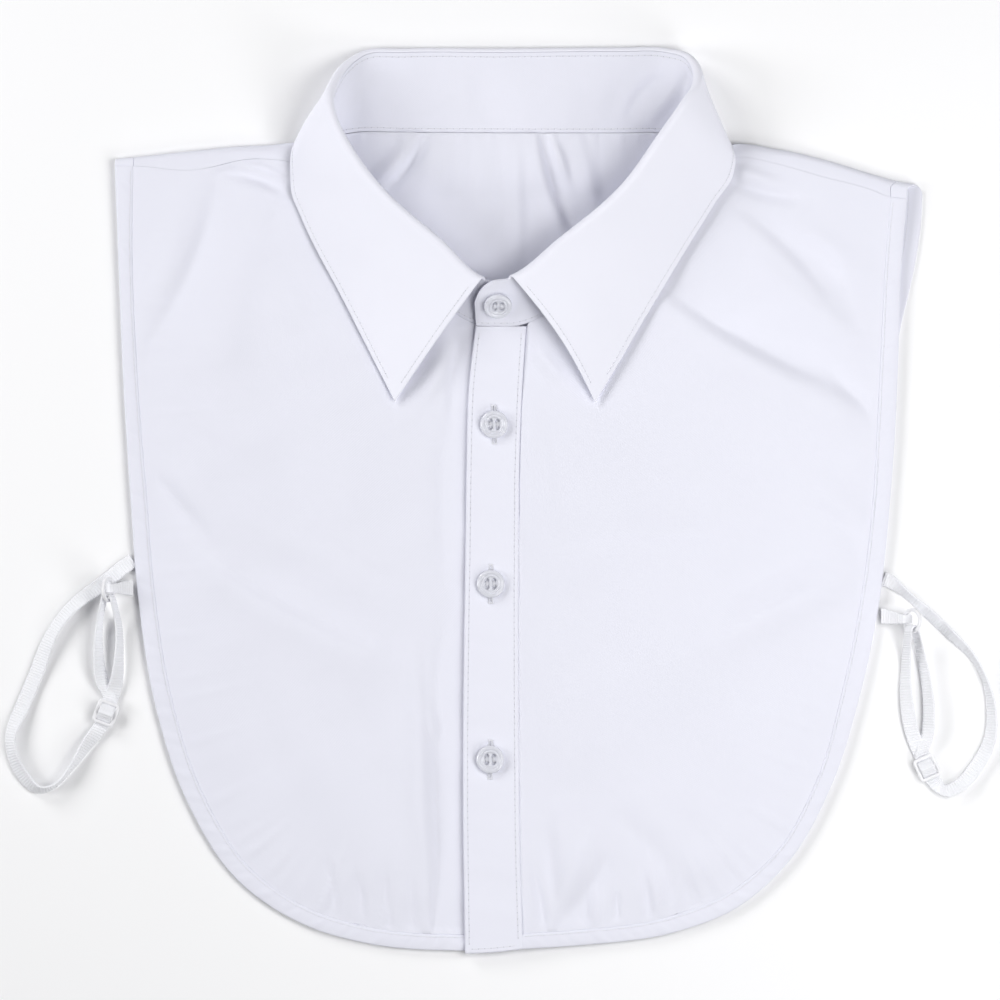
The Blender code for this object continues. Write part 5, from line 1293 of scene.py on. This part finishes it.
# Elastic straps
# White ribbed elastic. Each strap is sewn under the back's hem, runs round a loop, through the
# slider and the ring, and back to the slider. A short tab of the same elastic, folded round the
# ring, is sewn to the front's edge.

STRAP_WALL = 1.0
STRAP_WIDTH = 6.2
STRAP_CLEAR = 1.9
STRAP_LIFT = 0.3
TAB_WIDTH = 6.6
PINCHED_WIDTH = 4.4
RING_RADIUS = 4.55
RING_WIRE = 0.75
RING_LEVEL = 9.4
STRAP_TURN = 2.35
TAB_TURN = 2.7
SLIDER_ACROSS = 9.4
SLIDER_BAR = 1.4
SLIDER_SLOT = 3.0
SLIDER_WALL = 1.0
SLIDER_LEVEL = 3.7
SLIDER_WEAVE = 1.75
RIB_PITCH = 1.15
RIB_DEPTH = 0.22
# loop and strands: x, y, lean from flat in degrees
SIDES = {
    "left": {
        "sign": -1.0,
        "ring": (-164.2, -37.6),
        "ring_lean": 62.0,
        "tab_start_y": -37.0,
        "slider": (-165.4, -89.4),
        "slider_heading": (0.34, 0.94),
        "back_start_y": -25.4,
        "loop": (
            (-156.0, -26.6, 3.0), (-161.5, -31.0, 5.0), (-169.0, -36.8, 5.0), (-179.8, -44.9, 38.0),
            (-188.6, -57.1, 38.0), (-194.4, -72.2, 10.0), (-200.8, -87.4, 15.0),
            (-205.6, -99.5, 50.0), (-204.2, -108.5, 50.0), (-199.2, -117.2, 35.0),
            (-193.6, -122.0, 60.0), (-187.8, -120.6, 78.0), (-179.8, -112.3, 72.0),
            (-173.4, -102.6, 40.0),
        ),
        "outer_strand": ((-167.0, -76.5, 25.0), (-168.6, -64.0, 50.0), (-168.2, -52.0, 62.0)),
        "inner_strand": ((-159.9, -54.0, 118.0), (-159.9, -66.0, 125.0), (-161.0, -76.0, 150.0)),
    },
    "right": {
        "sign": 1.0,
        "ring": (172.8, -50.6),
        "ring_lean": 45.0,
        "tab_start_y": -48.6,
        "slider": (179.3, -112.4),
        "slider_heading": (-0.42, 0.91),
        "back_start_y": -33.0,
        "loop": (
            (162.6, -33.4, 12.0), (167.0, -36.4, 48.0), (172.4, -41.0, 62.0), (180.0, -47.6, 48.0),
            (189.6, -56.8, 52.0), (198.6, -66.0, 68.0), (203.7, -75.6, 72.0), (206.4, -88.0, 50.0),
            (205.6, -101.0, 35.0), (199.6, -112.6, 14.0), (192.4, -120.4, 30.0),
            (187.0, -122.6, 30.0),
        ),
        "outer_strand": ((179.6, -98.0, 150.0), (179.9, -84.0, 140.0), (177.0, -66.0, 135.0)),
        "inner_strand": ((170.6, -66.0, 45.0), (170.6, -84.0, 30.0), (173.4, -99.0, 14.0)),
    },
}


def leaning(rows, lift):
    """Path and width direction of a ribbon that rests on the table at each row's lean."""
    rows = np.asarray(rows, dtype=float)
    lean = np.radians(rows[:, 2])
    z = PANEL_WALL / 2 * np.abs(np.cos(lean)) + STRAP_WIDTH / 2 * np.abs(np.sin(lean)) + lift
    heading = np.gradient(rows[:, :2], axis=0)
    aside = unit(np.stack([-heading[:, 1], heading[:, 0]], -1))
    width = np.concatenate([aside * np.cos(lean)[:, None], np.sin(lean)[:, None]], 1)
    return np.concatenate([rows[:, :2], z[:, None]], 1), width


def ring_axes(side):
    """The ring's centre, its direction away from the garment and up, and the turn's direction."""
    place = SIDES[side]
    lean = math.radians(place["ring_lean"])
    sign = place["sign"]
    centre = np.array([*place["ring"], RING_LEVEL])
    outwards = np.array([sign * math.cos(lean), 0.0, math.sin(lean)])
    across = np.array([-sign * math.sin(lean), 0.0, math.cos(lean)])
    return centre, outwards, across


def slider_axes(side):
    """The slider's centre and its heading along the strap."""
    place = SIDES[side]
    centre = np.array([*place["slider"], SLIDER_LEVEL])
    heading = unit(np.array([*place["slider_heading"], 0.0]))
    return centre, heading


def strand(rows, before, before_width, after, after_width):
    """A stretch of strap between two given ends, along rows that lean on the table."""
    body, body_width = leaning(rows, 3 * STRAP_LIFT)
    path_rows = np.concatenate([[before], body, [after]])
    widths = np.concatenate([[before_width], unit(body_width), [after_width]])
    for row in range(1, len(widths)):
        if np.dot(widths[row], widths[row - 1]) < 0:
            widths[row] = -widths[row]
    path_knots = chord_knots(path_rows, 3)
    at = np.linspace(0, path_knots[-1], 10)[1:-1]
    return smooth(path_rows, at, path_knots), smooth(widths, at, path_knots), widths[-1]


def strap_path(side):
    """The strap's path, width directions and widths, from the back's edge to its far end."""
    place = SIDES[side]
    sign = place["sign"]
    rows = np.asarray(BACK_EDGE[:10] if sign < 0 else BACK_EDGE[:13:-1])
    start_x = float(np.interp(-place["back_start_y"], -rows[:, 1], rows[:, 0])) + sign * STRAP_CLEAR
    loop = [(start_x, place["back_start_y"], 0.0), *place["loop"]]
    knots = chord_knots(loop, 2)
    loop = smooth(loop, np.linspace(0, knots[-1], 34), knots)
    path, width = leaning(loop, STRAP_LIFT)

    centre, heading = slider_axes(side)
    aside = np.array([-heading[1], heading[0], 0.0])
    pitch = SLIDER_BAR + SLIDER_SLOT
    near = SLIDER_SLOT + SLIDER_BAR / 2 + 0.3
    weave_rows = np.array([(-pitch - 1.6, -SLIDER_WEAVE), (-near, -SLIDER_WEAVE), (-0.5, SLIDER_WEAVE),
                           (0.5, SLIDER_WEAVE), (near, -SLIDER_WEAVE), (pitch + 1.6, -SLIDER_WEAVE)])
    through = centre + heading * weave_rows[:, :1] + np.array([0, 0, 1.0]) * weave_rows[:, 1:]
    under = np.array([(pitch + 2.2, -SLIDER_LEVEL + 0.9), (pitch - 0.6, -SLIDER_LEVEL + 0.9),
                      (1.9, -SLIDER_LEVEL + 1.1), (0.3, -1.45)])
    end = centre + heading * under[:, :1] + np.array([0, 0, 1.0]) * under[:, 1:]

    ring, outwards, across = ring_axes(side)
    wire = ring - np.array([0, RING_RADIUS, 0])
    angle = np.radians(np.linspace(0, 180, 7))[:, None]
    turn = wire - across * STRAP_TURN * np.cos(angle) + np.array([0, STRAP_TURN, 0]) * np.sin(angle)
    outer, outer_width, last = strand(place["outer_strand"], through[-1], aside, turn[0], outwards)
    flip = 1.0 if np.dot(last, outwards) > 0 else -1.0
    inner_part, inner_width, last = strand(place["inner_strand"], turn[-1], outwards * flip, end[0], aside)
    flip_end = 1.0 if np.dot(last, aside) > 0 else -1.0
    path = np.concatenate([path, through, outer, turn, inner_part, end])
    width = np.concatenate([width, np.tile(aside, (6, 1)), outer_width, np.tile(outwards, (7, 1)) * flip,
                            inner_width, np.tile(aside * flip_end, (4, 1))])
    for row in range(1, len(width)):
        if np.dot(width[row], width[row - 1]) < 0:
            width[row] = -width[row]
    size = np.full(len(path), STRAP_WIDTH)
    first_turn = 34 + 6 + 8
    pinch = np.abs(np.arange(len(path)) - (first_turn + 3)) / 7.0
    size -= (STRAP_WIDTH - PINCHED_WIDTH) * (1 - soft_step(pinch - 0.3))
    return path, unit(width), size


def edge_x(table, y):
    """x of an outer edge at a height y on its armhole."""
    rows = np.asarray(table)[:9, :2]
    return float(np.interp(-y, -rows[:, 1], rows[:, 0]))


def tab_path(side):
    """The folded tab: out from the hem, round the ring's near wire, and back to the hem."""
    place = SIDES[side]
    sign = place["sign"]
    ring, outwards, _ = ring_axes(side)
    wire = ring - outwards * RING_RADIUS
    start_x = edge_x(LEFT_EDGE if sign < 0 else RIGHT_EDGE, place["tab_start_y"]) + sign * STRAP_CLEAR
    angle = np.radians(np.linspace(-80, -280, 9))
    turn = np.stack([wire[0] - sign * TAB_TURN * np.cos(angle), np.full(9, ring[1] + 0.65),
                     wire[2] + TAB_TURN * np.sin(angle)], -1)
    low = np.array([start_x, place["tab_start_y"], HEM_LEVEL - 0.45])
    high = np.array([start_x, place["tab_start_y"], HEM_LEVEL + 0.95])
    part = np.array([0.0, 0.35, 0.7])[:, None]
    below = low + (turn[0] - low) * part
    below[:, 2] = low[2] + (turn[0, 2] - low[2]) * part[:, 0] ** 0.8
    above = high + (turn[-1] - high) * part[::-1]
    above[:, 2] = high[2] + (turn[-1, 2] - high[2]) * part[::-1, 0] ** 1.3
    path = np.concatenate([below, turn, above])
    width = np.tile([0.0, 1.0, 0.0], (len(path), 1))
    size = np.concatenate([[TAB_WIDTH, 6.0, 4.8], np.full(9, 3.9), [4.8, 6.0, TAB_WIDTH]])
    return path, width, size


def corner_cut(rows, times):
    """Each bend of a run of rows cut a quarter of the way in from both sides, several times."""
    for _ in range(times):
        near = rows[:-1] * 0.75 + rows[1:] * 0.25
        far = rows[:-1] * 0.25 + rows[1:] * 0.75
        rows = np.concatenate([rows[:1], np.stack([near, far], 1).reshape(-1, rows.shape[1]), rows[-1:]])
    return rows


def ribbed(name, path, width, size, node):
    """Elastic: a flat ribbon along a path, its wall swelling and thinning in close ribs across it."""
    rows = corner_cut(np.concatenate([path, width, size[:, None]], 1), 2)
    knots = chord_knots(rows, 3)
    at = np.linspace(0, knots[-1], int(knots[-1] / (RIB_PITCH / 5)))
    rows = np.stack([np.interp(at, knots, rows[:, k]) for k in range(rows.shape[1])], -1)
    part = np.linspace(-0.5, 0.5, 7)
    grid = rows[:, None, :3] + unit(rows[:, None, 3:6]) * (rows[:, None, 6:7] * part[:, None])

    def ribs(points):
        """The wall's swelling: a sine of the length along the ribbon."""
        run = np.cumsum(np.linalg.norm(np.diff(points, axis=0, prepend=points[:1]), axis=-1), axis=0)
        return RIB_DEPTH * np.sin(2 * math.pi * run.mean(axis=1) / RIB_PITCH)[:, None]

    return shell(name, grid, STRAP_WALL, elastic, node, ribs=ribs)


elastic = cloth_material("white_elastic", (0.88, 0.885, 0.92), (0.84, 0.845, 0.88), 0.78, 0.0005, 0.00012)
for side in SIDES:
    ribbed("strap_" + side + "_elastic", *strap_path(side), "strap_" + side)
    ribbed("tab_" + side + "_elastic", *tab_path(side), "tab_" + side)


# Rings and sliders
# Moulded white plastic. A ring joins each tab to the strap, and a slider with two slots sets the
# strap's length. The strap's friction holds them.

SLIDER_CORNER = 1.1
MOULDED_SQUARENESS = 3.2


def plastic_material(name, light, shade, roughness):
    """Moulded plastic: faint flow clouding, and the slight waviness that a mould leaves."""
    material = bpy.data.materials.new(name)
    material.use_nodes = True
    tree = material.node_tree
    shader = tree.nodes["Principled BSDF"]
    place = add_node(tree, "ShaderNodeTexCoord")
    cloud = add_node(tree, "ShaderNodeTexNoise", [("Vector", place.outputs["Object"]), ("Scale", 260.0),
                                                  ("Detail", 3.0)])
    mix = add_node(tree, "ShaderNodeMix", [("Factor", cloud.outputs["Fac"])], data_type="RGBA")
    mix.inputs[6].default_value = (*shade, 1.0)
    mix.inputs[7].default_value = (*light, 1.0)
    tree.links.new(mix.outputs[2], shader.inputs["Base Color"])
    rough = add_node(tree, "ShaderNodeMapRange", [("Value", cloud.outputs["Fac"]),
                                                  ("To Min", roughness), ("To Max", roughness + 0.12)])
    tree.links.new(rough.outputs[0], shader.inputs["Roughness"])
    bump = add_node(tree, "ShaderNodeBump", [("Height", cloud.outputs["Fac"]), ("Strength", 0.15),
                                             ("Distance", 0.0001)])
    tree.links.new(bump.outputs[0], shader.inputs["Normal"])
    return material


def moulded_bar(path, aside, wide, thick, closed):
    """A bar along a path: its section is a superellipse, wide along a direction in the plane."""
    ahead = np.roll(path, -1, axis=0) - np.roll(path, 1, axis=0) if closed else np.gradient(path, axis=0)
    up = unit(np.cross(unit(ahead), aside))
    angle = np.linspace(0, 2 * math.pi, 17)[:-1]
    power = 2 / MOULDED_SQUARENESS
    across = np.sign(np.cos(angle)) * np.abs(np.cos(angle)) ** power * wide / 2
    rise = np.sign(np.sin(angle)) * np.abs(np.sin(angle)) ** power * thick / 2
    points = path[:, None] + aside[:, None] * across[:, None] + up[:, None] * rise[:, None]
    number = np.arange(points.size // 3).reshape(points.shape[:2])
    after = np.roll(number, -1, axis=0)[:None if closed else -1]
    number_from = number if closed else number[:-1]
    faces = np.stack([number_from, after, np.roll(after, -1, axis=1), np.roll(number_from, -1, axis=1)], -1)
    faces = faces.reshape(-1, 4).tolist()
    if not closed:
        faces += [number[0].tolist(), number[-1][::-1].tolist()]
    return points.reshape(-1, 3), faces


fitting = plastic_material("white_fitting", (0.88, 0.88, 0.9), (0.82, 0.82, 0.85), 0.28)
for side in SIDES:
    centre, outwards, _ = ring_axes(side)
    turn = np.linspace(0, 2 * math.pi, 73)[:-1, None]
    spoke = outwards * np.cos(turn) + np.array([0.0, 1.0, 0.0]) * np.sin(turn)
    ring = moulded_bar(centre + spoke * RING_RADIUS, spoke, 2 * RING_WIRE, 2 * RING_WIRE * 0.96, True)
    hard_piece("ring_" + side + "_wire", [ring], fitting, "ring_" + side)

    centre, heading = slider_axes(side)
    aside = np.array([-heading[1], heading[0], 0.0])
    half_long = SLIDER_BAR + SLIDER_SLOT
    half_wide = SLIDER_ACROSS / 2 - 0.65
    corner = np.linspace(0, math.pi / 2, 9)
    along = np.concatenate([sx * (half_long - SLIDER_CORNER) + SLIDER_CORNER * np.cos(corner + turned)
                            for sx, turned in ((1, 0), (-1, math.pi / 2), (-1, math.pi), (1, -math.pi / 2))])
    beside = np.concatenate([sy * (half_wide - SLIDER_CORNER) + SLIDER_CORNER * np.sin(corner + turned)
                             for sy, turned in ((1, 0), (1, math.pi / 2), (-1, math.pi), (-1, -math.pi / 2))])
    loop = centre + heading * along[:, None] + aside * beside[:, None]
    outward = unit(np.cross(np.roll(loop, -1, axis=0) - np.roll(loop, 1, axis=0), [0.0, 0.0, 1.0]))
    frame_bar = moulded_bar(loop, outward, 1.35, SLIDER_WALL, True)
    middle = centre + aside * np.linspace(-half_wide, half_wide, 12)[:, None]
    middle_bar = moulded_bar(middle, np.tile(heading, (12, 1)), SLIDER_BAR, SLIDER_WALL * 0.9, False)
    hard_piece("slider_" + side + "_plate", [frame_bar, middle_bar], fitting,
               "slider_" + side)


# Table, light and camera
# A plain pale table under soft studio light, seen square-on from above.

FRAME_WIDTH = 0.42
CAMERA_HEIGHT = 6.0

floor_mesh = bpy.data.meshes.new("table")
floor_mesh.from_pydata([(-3, -3, 0), (3, -3, 0), (3, 3, 0), (-3, 3, 0)], [], [(0, 1, 2, 3)])
floor = bpy.data.objects.new("table", floor_mesh)
floor.location.z = -0.0002
bpy.context.scene.collection.objects.link(floor)
floor_paint = bpy.data.materials.new("pale_table")
floor_paint.use_nodes = True
floor_paint.node_tree.nodes["Principled BSDF"].inputs["Base Color"].default_value = (0.93, 0.93, 0.94, 1)
floor_paint.node_tree.nodes["Principled BSDF"].inputs["Roughness"].default_value = 0.9
floor_mesh.materials.append(floor_paint)


def area_light(name, place, size, power):
    """A square soft light that faces the collar."""
    data = bpy.data.lights.new(name, "AREA")
    data.size = size
    data.energy = power
    light = bpy.data.objects.new(name, data)
    light.location = place
    light.rotation_euler = (-Vector(place)).to_track_quat("-Z", "Y").to_euler()
    bpy.context.scene.collection.objects.link(light)


area_light("upper_left_box", (-0.796, 0.796, 0.65), 0.5, 6.0)
area_light("left_box", (-1.126, 0.0, 0.65), 0.5, 6.1)
area_light("lower_right_box", (0.77, -0.77, 0.7), 0.5, 4.7)
area_light("right_box", (1.126, 0.0, 0.65), 0.5, 0.9)
area_light("upper_right_box", (0.45, 0.0, 0.8), 0.5, 4.6)
world = bpy.data.worlds.new("studio")
world.use_nodes = True
world.node_tree.nodes["Background"].inputs["Color"].default_value = (1, 1, 1, 1)
world.node_tree.nodes["Background"].inputs["Strength"].default_value = 0.1
bpy.context.scene.world = world
bpy.context.scene.view_settings.view_transform = "Standard"

camera_data = bpy.data.cameras.new("camera")
camera_data.sensor_width = 36.0
camera_data.lens = 36.0 * CAMERA_HEIGHT / FRAME_WIDTH
camera_data.clip_end = 50.0
camera = bpy.data.objects.new("camera", camera_data)
camera.location = (SHIFT[0] * MM, SHIFT[1] * MM, CAMERA_HEIGHT)
bpy.context.scene.collection.objects.link(camera)
bpy.context.scene.camera = camera
